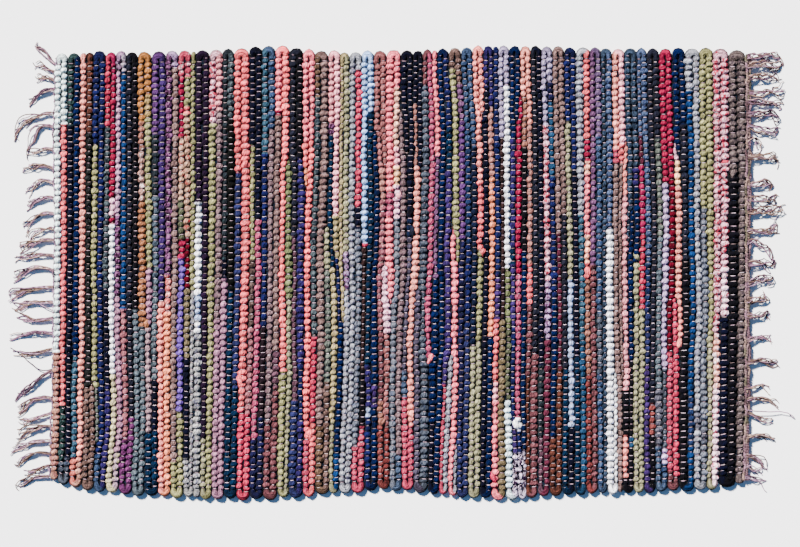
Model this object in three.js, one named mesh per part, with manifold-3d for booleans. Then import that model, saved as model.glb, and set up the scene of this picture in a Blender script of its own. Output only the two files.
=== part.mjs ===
// A hand-woven rag rug, lying flat with a fringe at each short end.
// Cut rags run across the rug as rows and show as ribs. The warp yarns run along it and end in tufts.
// Millimetres, +X along the rug, +Z up, and the underside on z = 0.
import * as THREE from "three";
import { mergeVertices } from "three/addons/utils/BufferGeometryUtils.js";
import Module from "manifold-3d";

const wasm = await Module();
wasm.setup();

// Driving dimensions
const gap = 0.3; // between the cloth and a fringe's heading
const rows = {
  count: 110,
  thickness: 8.4, // crest of a rib
  groove: 4.6, // bottom of the groove between two ribs
  nearLine: -287, // mean place of the near edge, and of the far one
  farLine: 297,
};
// How a row's width strays from the mean: the share, and the turns from row to row and across the rug.
const wander = {
  slow: { share: 0.24, perRow: 2.4, sway: 2.2, swayPerRow: 1.1, across: 3.1 },
  fast: { share: 0.1, perRow: 1.3, across: 5 },
};
const edge = {
  depth: 6, // how far in from the edge the rows have their full height
  crest: 4.4, // height of a rag where it turns round
  notch: 2.6, // height of the groove between two turns
  bulge: 2.4, // how far a turn stands out past its neighbours' groove
};
const heading = { width: 4, height: 4.6, shoulder: 3.2 };
const strand = {
  width: 1.5,
  height: 1.7,
  rootPitch: 1.9, // between the strands of a tuft where they leave the heading
  tipPitch: 2.4,
  steps: 3,
  tucked: 1.5, // length inside the heading
  taper: 0.2, // share of the width lost by the tip
  uneven: 0.12, // share by which the shortest strand falls short
  sag: 1.3, // power with which a tuft turns down along its reach
};

// The cloth's two long edges: how far each lies from the middle line at a place along the rug.
const longEdges = [
  { x: -464, far: 290, near: -275 },
  { x: -445, far: 292, near: -284 },
  { x: -411, far: 294, near: -289 },
  { x: -361, far: 295, near: -296 },
  { x: -267, far: 295.5, near: -300.5 },
  { x: -205, far: 300, near: -302 },
  { x: -156, far: 301.5, near: -300 },
  { x: -111, far: 296.5, near: -295.5 },
  { x: -63, far: 294, near: -292 },
  { x: -16, far: 297, near: -288 },
  { x: 33, far: 296.5, near: -292 },
  { x: 81, far: 301, near: -298 },
  { x: 151, far: 302.5, near: -302 },
  { x: 193, far: 302, near: -296 },
  { x: 273, far: 298.5, near: -294 },
  { x: 347, far: 299, near: -292 },
  { x: 420, far: 300, near: -287 },
  { x: 459, far: 294, near: -279 },
];

// The cloth's two short ends: where each lies at a place across the rug.
const shortEnds = [
  { y: -280, left: -468, right: 457 },
  { y: -170, left: -465, right: 459 },
  { y: -60, left: -463, right: 459.5 },
  { y: 60, left: -461.5, right: 460 },
  { y: 180, left: -463, right: 461 },
  { y: 295, left: -460, right: 460 },
];

// The tufts of each fringe: place on the edge, reach from it, how far the tips hang towards
// the near edge, how far the middle bows the other way, and the number of strands.
const leftTufts = [
  { y: 279, reach: 27, hang: -24, bow: 4, strands: 4 },
  { y: 268, reach: 29, hang: -14, bow: 3, strands: 3 },
  { y: 257, reach: 24, hang: -6, bow: 2, strands: 3 },
  { y: 245, reach: 33, hang: 21, bow: 4, strands: 5 },
  { y: 213, reach: 52, hang: 29, bow: 6, strands: 4 },
  { y: 195, reach: 35, hang: 30, bow: 9, strands: 5 },
  { y: 165, reach: 37, hang: 8, bow: 3, strands: 4 },
  { y: 140, reach: 40, hang: 2, bow: 4, strands: 4 },
  { y: 120, reach: 35, hang: 12, bow: 8, strands: 4 },
  { y: 100, reach: 36, hang: 14, bow: 5, strands: 5 },
  { y: 79, reach: 40, hang: 18, bow: 6, strands: 6 },
  { y: 59, reach: 34, hang: 14, bow: 5, strands: 3 },
  { y: 44, reach: 45, hang: 12, bow: 3, strands: 6 },
  { y: 23, reach: 52, hang: 5, bow: 3, strands: 4 },
  { y: 3, reach: 54, hang: 9, bow: 8, strands: 6 },
  { y: -19, reach: 60, hang: 12, bow: 2, strands: 6 },
  { y: -39, reach: 54, hang: 8, bow: 2, strands: 5 },
  { y: -60, reach: 50, hang: -4, bow: -4, strands: 4 },
  { y: -80, reach: 58, hang: 8, bow: 3, strands: 4 },
  { y: -101, reach: 50, hang: 4, bow: -5, strands: 4 },
  { y: -131, reach: 47, hang: 31, bow: 0, strands: 6 },
  { y: -167, reach: 44, hang: 16, bow: 5, strands: 6 },
  { y: -187, reach: 44, hang: 15, bow: -2, strands: 4 },
  { y: -204, reach: 44, hang: 17, bow: 3, strands: 5 },
  { y: -224, reach: 52, hang: 14, bow: 3, strands: 5 },
  { y: -240, reach: 46, hang: 14, bow: 3, strands: 4 },
  { y: -257, reach: 36, hang: 16, bow: 0, strands: 4 },
  { y: -271, reach: 46, hang: 16, bow: 2, strands: 4 },
];
const rightTufts = [
  { y: 288, reach: 47, hang: 6, bow: 5, strands: 4 },
  { y: 276, reach: 48, hang: 5, bow: 5, strands: 5 },
  { y: 259, reach: 40, hang: -1, bow: 3, strands: 4 },
  { y: 241, reach: 48, hang: -9, bow: -6, strands: 4 },
  { y: 228, reach: 45, hang: 8, bow: 2, strands: 4 },
  { y: 211, reach: 44, hang: 7, bow: 4, strands: 5 },
  { y: 195, reach: 41, hang: 7, bow: -2, strands: 4 },
  { y: 177, reach: 18, hang: 10, bow: 2, strands: 2 },
  { y: 153, reach: 42, hang: 2, bow: 7, strands: 5 },
  { y: 117, reach: 33, hang: 4, bow: 5, strands: 5 },
  { y: 99, reach: 40, hang: 3, bow: 2, strands: 3 },
  { y: 82, reach: 48, hang: 0, bow: 3, strands: 5 },
  { y: 56, reach: 41, hang: -12, bow: -6, strands: 4 },
  { y: 41, reach: 36, hang: 20, bow: 4, strands: 3 },
  { y: 11, reach: 37, hang: 7, bow: 7, strands: 4 },
  { y: -16, reach: 35, hang: -3, bow: 7, strands: 4 },
  { y: -36, reach: 27, hang: -8, bow: -3, strands: 4 },
  { y: -59, reach: 31, hang: 4, bow: 6, strands: 4 },
  { y: -91, reach: 33, hang: 2, bow: 5, strands: 4 },
  { y: -120, reach: 43, hang: 6, bow: 6, strands: 5 },
  { y: -153, reach: 32, hang: 3, bow: 3, strands: 3 },
  { y: -169, reach: 43, hang: 6, bow: 3, strands: 4 },
  { y: -185, reach: 36, hang: 17, bow: -2, strands: 4 },
  { y: -219, reach: 39, hang: 6, bow: 4, strands: 4 },
  { y: -244, reach: 30, hang: 21, bow: 4, strands: 4 },
  { y: -259, reach: 22, hang: 14, bow: 2, strands: 3 },
  { y: -272, reach: 29, hang: 17, bow: 2, strands: 3 },
];

// Value of a table's column at a place, read along its rows with a smooth step between them.
function along(table, key, column, place) {
  const forward = table[0][key] < table[table.length - 1][key];
  const list = forward ? table : [...table].reverse();
  const next = list.findIndex((row) => row[key] > place);
  if (next === 0) return list[0][column];
  if (next < 0) return list[list.length - 1][column];
  const [a, b] = [list[next - 1], list[next]];
  const t = THREE.MathUtils.smoothstep(place, a[key], b[key]);
  return THREE.MathUtils.lerp(a[column], b[column], t);
}

// Where the groove before each row lies, from 0 at the left end to 1 at the right.
function grooves(v) {
  const sum = [0];
  for (let row = 0; row < rows.count; row++) {
    const { slow, fast } = wander;
    const sway = slow.sway * Math.sin(slow.swayPerRow * row + slow.across * v);
    const wide = slow.share * Math.sin(slow.perRow * row + sway);
    sum.push(sum[row] + 1 + wide + fast.share * Math.sin(fast.perRow * row + fast.across * v));
  }
  return sum.map((s) => s / sum[rows.count]);
}

// The four points across a row: its groove, a shoulder, its crest and a shoulder.
const section = [
  { across: 0, height: 0 },
  { across: 0.2, height: 0.72 },
  { across: 0.5, height: 1 },
  { across: 0.8, height: 0.72 },
];

// A rag turns round at the edge with the next row: rows 0 and 1 at the far edge, 1 and 2 at the near one.
function turn(column, far) {
  const shift = far ? 0 : section.length;
  const span = 2 * section.length;
  return Math.sin((Math.PI * ((column + shift) % span)) / span);
}

// The lines along which the rows are measured, from the near edge (0) to the far one (1).
const lines = [
  { v: 0, inset: 0 },
  { v: 0, inset: edge.depth },
  { v: 0.2, inset: 0 },
  { v: 0.4, inset: 0 },
  { v: 0.6, inset: 0 },
  { v: 0.8, inset: 0 },
  { v: 1, inset: -edge.depth },
  { v: 1, inset: 0 },
];

// One line of the cloth's upper side, as points from its left end to its right one.
function clothLine({ v, inset }, index) {
  const atNear = index === 0;
  const atFar = index === lines.length - 1;
  const groove = grooves(v);
  const points = [];
  for (let column = 0; column <= rows.count * section.length; column++) {
    const row = Math.min(Math.floor(column / section.length), rows.count - 1);
    const step = column - row * section.length;
    const { across, height } = section[step] ?? { across: 1, height: 0 };
    const f = THREE.MathUtils.lerp(groove[row], groove[row + 1], across);
    const y0 = THREE.MathUtils.lerp(rows.nearLine, rows.farLine, v);
    const left = along(shortEnds, "y", "left", y0);
    const right = along(shortEnds, "y", "right", y0);
    const x = THREE.MathUtils.lerp(left, right, f);
    const far = along(longEdges, "x", "far", x);
    const near = along(longEdges, "x", "near", x);
    let y = THREE.MathUtils.lerp(near, far, v) + inset;
    let z = THREE.MathUtils.lerp(rows.groove, rows.thickness, height);
    if (atNear || atFar) {
      const out = turn(column, atFar);
      y += (atFar ? 1 : -1) * edge.bulge * out;
      z = THREE.MathUtils.lerp(edge.notch, edge.crest, Math.sqrt(out));
    }
    points.push(new THREE.Vector3(x, y, z));
  }
  return points;
}

// A closed solid from a grid of upper points, with upright sides and a flat underside at z = 0.
function slab(grid) {
  const width = grid[0].length;
  const top = grid.length - 1;
  const points = grid.flat();
  const at = (line, column) => line * width + column;
  const faces = [];
  for (let line = 0; line < top; line++) {
    for (let column = 0; column < width - 1; column++) {
      const [a, b] = [at(line, column), at(line, column + 1)];
      const [c, d] = [at(line + 1, column + 1), at(line + 1, column)];
      faces.push(a, b, c, a, c, d);
    }
  }
  const rim = [];
  for (let column = 0; column < width; column++) rim.push(at(0, column));
  for (let line = 1; line < top; line++) rim.push(at(line, width - 1));
  for (let column = width - 1; column >= 0; column--) rim.push(at(top, column));
  for (let line = top - 1; line > 0; line--) rim.push(at(line, 0));
  const floor = points.length;
  for (const i of rim) points.push(new THREE.Vector3(points[i].x, points[i].y, 0));
  rim.forEach((i, k) => {
    const next = (k + 1) % rim.length;
    faces.push(i, floor + k, floor + next, i, floor + next, rim[next]);
  });
  const outline = rim.map((i) => new THREE.Vector2(points[i].x, points[i].y));
  for (const [a, b, c] of THREE.ShapeUtils.triangulateShape(outline, [])) {
    faces.push(floor + a, floor + c, floor + b);
  }
  return geometryOf(points, faces);
}

// A closed solid through a list of rings that hold the same number of points.
function loft(rings) {
  const sides = rings[0].length;
  const faces = [];
  for (let ring = 0; ring < rings.length - 1; ring++) {
    for (let side = 0; side < sides; side++) {
      const a = ring * sides + side;
      const b = ring * sides + ((side + 1) % sides);
      faces.push(a, b + sides, b, a, a + sides, b + sides);
    }
  }
  const last = (rings.length - 1) * sides;
  for (let side = 1; side < sides - 1; side++) {
    faces.push(0, side, side + 1, last, last + side + 1, last + side);
  }
  return geometryOf(rings.flat(), faces);
}

function geometryOf(points, faces) {
  const geometry = new THREE.BufferGeometry().setFromPoints(points);
  geometry.setIndex(faces);
  return geometry;
}

function solidOf(geometry) {
  const merged = mergeVertices(geometry, 1e-4);
  return new wasm.Manifold(
    new wasm.Mesh({
      numProp: 3,
      vertProperties: new Float32Array(merged.attributes.position.array),
      triVerts: new Uint32Array(merged.index.array),
    }),
  );
}

function meshOf(name, geometry, color) {
  geometry.computeVertexNormals();
  const material = new THREE.MeshStandardMaterial({ color, roughness: 0.95, metalness: 0 });
  const mesh = new THREE.Mesh(geometry, material);
  mesh.name = name;
  return mesh;
}

// One strand of a tuft: a three-sided yarn that lies on the floor and tapers a little to its tip.
function yarn(tuft, number, side, rootX) {
  const place = number - (tuft.strands - 1) / 2;
  const length = 1 - strand.uneven * Math.abs(Math.sin(2 * number + tuft.y));
  const spine = [];
  for (let step = 0; step <= strand.steps; step++) {
    const t = (step / strand.steps) * length;
    const spread = THREE.MathUtils.lerp(strand.rootPitch, strand.tipPitch, t);
    const x = rootX + side * (tuft.reach * t - (step ? 0 : strand.tucked));
    const bend = tuft.bow * Math.sin(Math.PI * t) - tuft.hang * t ** strand.sag;
    spine.push(new THREE.Vector2(x, tuft.y + place * spread + bend));
  }
  const rings = spine.map((point, step) => {
    const before = spine[Math.max(step - 1, 0)];
    const after = spine[Math.min(step + 1, strand.steps)];
    const across = after.clone().sub(before).normalize();
    across.set(-across.y, across.x);
    const half = (strand.width / 2) * (1 - (strand.taper * step) / strand.steps);
    return [
      new THREE.Vector3(point.x - across.x * half, point.y - across.y * half, 0),
      new THREE.Vector3(point.x + across.x * half, point.y + across.y * half, 0),
      new THREE.Vector3(point.x, point.y, strand.height),
    ].reverse();
  });
  return solidOf(loft(rings));
}

// A fringe: its heading beside the cloth's short end, with every tuft's strands rooted in it.
function fringe(name, tufts, end, side, cloth, color) {
  const rings = cloth.map((line) => {
    const { x, y } = end(line);
    const inner = x + side * gap;
    const outer = inner + side * heading.width;
    const ring = [
      new THREE.Vector3(inner, y, 0),
      new THREE.Vector3(outer, y, 0),
      new THREE.Vector3(outer, y, heading.shoulder),
      new THREE.Vector3((inner + outer) / 2, y, heading.height),
      new THREE.Vector3(inner, y, heading.shoulder),
    ];
    return side > 0 ? ring : ring.reverse();
  });
  let solid = solidOf(loft(rings));
  const ends = cloth.map(end);
  for (const tuft of tufts) {
    const rootX = along(ends, "y", "x", tuft.y) + side * (gap + heading.width);
    for (let number = 0; number < tuft.strands; number++) {
      solid = solid.add(yarn(tuft, number, side, rootX));
    }
  }
  const { vertProperties, triVerts, numProp } = solid.getMesh();
  const geometry = new THREE.BufferGeometry();
  const positions = new THREE.InterleavedBuffer(vertProperties, numProp);
  geometry.setAttribute("position", new THREE.InterleavedBufferAttribute(positions, 3, 0));
  geometry.setIndex([...triVerts]);
  return meshOf(name, geometry, color);
}

const cloth = lines.map(clothLine);
const leftEnd = (line) => line[0];
const rightEnd = (line) => line[line.length - 1];

const rug = new THREE.Group();
rug.add(
  meshOf("mat", slab(cloth), "#6f6470"),
  fringe("fringe_left", leftTufts, leftEnd, -1, cloth, "#a08c92"),
  fringe("fringe_right", rightTufts, rightEnd, 1, cloth, "#a08c92"),
);

// The origin is the middle of the underside, fringes included.
const box = new THREE.Box3().setFromObject(rug);
const middle = box.getCenter(new THREE.Vector3());
rug.position.set(-middle.x, -middle.y, -box.min.z);

export default rug;
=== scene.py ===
# A hand-woven rag rug lying flat, with a fringe at each short end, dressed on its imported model.
# Metres, +X along the rug, +Y along its rows of rag, +Z up.
import math

import bpy
import numpy as np
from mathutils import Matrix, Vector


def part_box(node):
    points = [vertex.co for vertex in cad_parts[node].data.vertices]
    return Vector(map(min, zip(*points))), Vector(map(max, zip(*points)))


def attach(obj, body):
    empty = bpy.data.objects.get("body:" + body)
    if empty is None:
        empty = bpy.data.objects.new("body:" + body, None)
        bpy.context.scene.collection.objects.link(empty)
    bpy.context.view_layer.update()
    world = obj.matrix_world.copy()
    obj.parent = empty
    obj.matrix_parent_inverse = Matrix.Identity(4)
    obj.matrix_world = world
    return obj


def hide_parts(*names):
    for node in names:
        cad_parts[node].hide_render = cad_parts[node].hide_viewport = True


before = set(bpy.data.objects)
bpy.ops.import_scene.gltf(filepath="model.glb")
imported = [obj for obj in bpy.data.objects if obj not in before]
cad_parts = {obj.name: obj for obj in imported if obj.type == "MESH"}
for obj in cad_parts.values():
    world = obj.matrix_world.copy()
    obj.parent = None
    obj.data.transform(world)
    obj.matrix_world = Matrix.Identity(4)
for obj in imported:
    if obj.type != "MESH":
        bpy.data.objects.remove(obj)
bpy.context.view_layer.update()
clothLow, clothHigh = (np.array(corner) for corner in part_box("mat"))
mm, cm = 0.001, 0.01
rng = np.random.default_rng(11)

# The weaving chart is read in centimetres from a corner near the cloth's far left one:
# the first number runs along the rug, the second across it, from the far edge to the near one.
chartZero = np.array([clothLow[0] + 9.3 * mm, clothHigh[1] - 7.6 * mm])

# The rags, named by colour. A second colour and its share are the print or the heather in the cloth.
ragColours = """
white ffffff c4c6f4 .14, pinkWhite f4ccd2 b87088 .3, cream fbd0a4, paleMint e8f6f2, mint f2fff6
iceBlue b0bed2, sky b2cae4, blue 204a70, greyWhite b4aab0, lilacWhite d4b0c0 7c4c6a .3
peach eea896, apricot f2a480, creamPeach f8cab0, coralPeach f6a496, peachPink e2a2a2, palePink ffc0c2
salmon f68684, coral e47c7c, coralPink f49096, coralRed c24e68, coralCream ffc6a8 d96a62 .3
brick 8c5550, rosyBrick 804a46 5e3638 .3, rosyBrown 80585a 5e4042 .3, rosyTan c29884 b07878 .3
dustyCoral d88878, rose 9c2f5c, roseRed b4445e, rosePink b26078, roseCoral bc5a6e, dustyRose a07072
dustyPeach a89090, crimson 9e2652, darkCrimson 6e0630, maroon 6c3a4a, plum 7a4a70 5a2a52 .3
purple 6c4c76, aubergine 321e38, plumTaupe 70555e, mauve 7a6780, mauvePlum 7e5e78
mauveTaupe 8a7674 6c5660 .3, lilac c6b3c8 a08aac .25, lilacPink ae8896, periwinkle 8266aa
indigoViolet 50406e, indigo 503c68, indigoSlate 3c4062, indigoNavy 403664, navy 2a305c
petrolNavy 042850, petrol 04364e, petrolBlue 36586e, ink 0e1432, inkGreen 10140f, inkIndigo 2c2c4e
black 171420, charcoal 2e303c, charcoalPlum 34262e, spruce 606a6a 363f46 .4
spruceInk 383e42 384a4a .3, forest 363836 171c17 .4, pine 445854 142826 .3
steelTeal 4e6c78 325260 .3, steel 5e6c7c 465468 .35, slate 62686e 424a56 .35
slateHeather 4e5c6a 32404e .45, slateBlue 627086 404a64 .4, slateInk 1e2a42, slateMauve 605a66
slateGreen 727c7e 505c60 .35, greySlate 68747a 4b545e .35, denim 546478 324662 .35
denimNavy 344460 28365a .3, steelGrey 808488 666c78 .35, silver a8aaaa 868492 .35
silverLilac aea4b6, ash aeaea6 7c7c86 .4, greyPlum 776c66 564c4e .4, taupeGrey 6e6e74 54525c .35
taupe 907a72 745f5c .3, taupeBrown 7e6a60 5e4a44 .35, taupeOlive 7a6654 5c4c3c .3
taupeKhaki 82765c, brown 6e4a3e 50342c .3, umber 463432, tan 9c7464, tanWhite aa887a ead8ce .3
peachTan b2867a, mauveTan 9e6e6a, ochre b28452, rust a87c5c 80563c .3, khaki b2a67e
khakiSage a4a282, sage a09e74, sageGreen 7e8460, oliveSage 6a6e58, olive 847a60
darkOlive 5c4e48 7c6c64 .4, pistachio d2caa2, ochreSage a89468, greySage 767c70 5e6660 .35
lilacPrint b49eb6 6a3c5e .42, plumPrint 8e6684 3c1a34 .42, pinkPrint e4bcc0 b84c60 .42
rosePrint b8586a e6c8c4 .25, coralPrint d07a74 f0d0c0 .3, darkPrint b094a8 4a3048 .4
creamRed bca088 a83040 .3, whitePrint fae0e0 c4687c .3, peachPrint f2b8a4 f8ecea .35
plumStripe e4d8e2 3a1a3e .45, roseTanPrint 906066 c89890 .3, lilacMix c2aab2 b0a884 .4
"""

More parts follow.
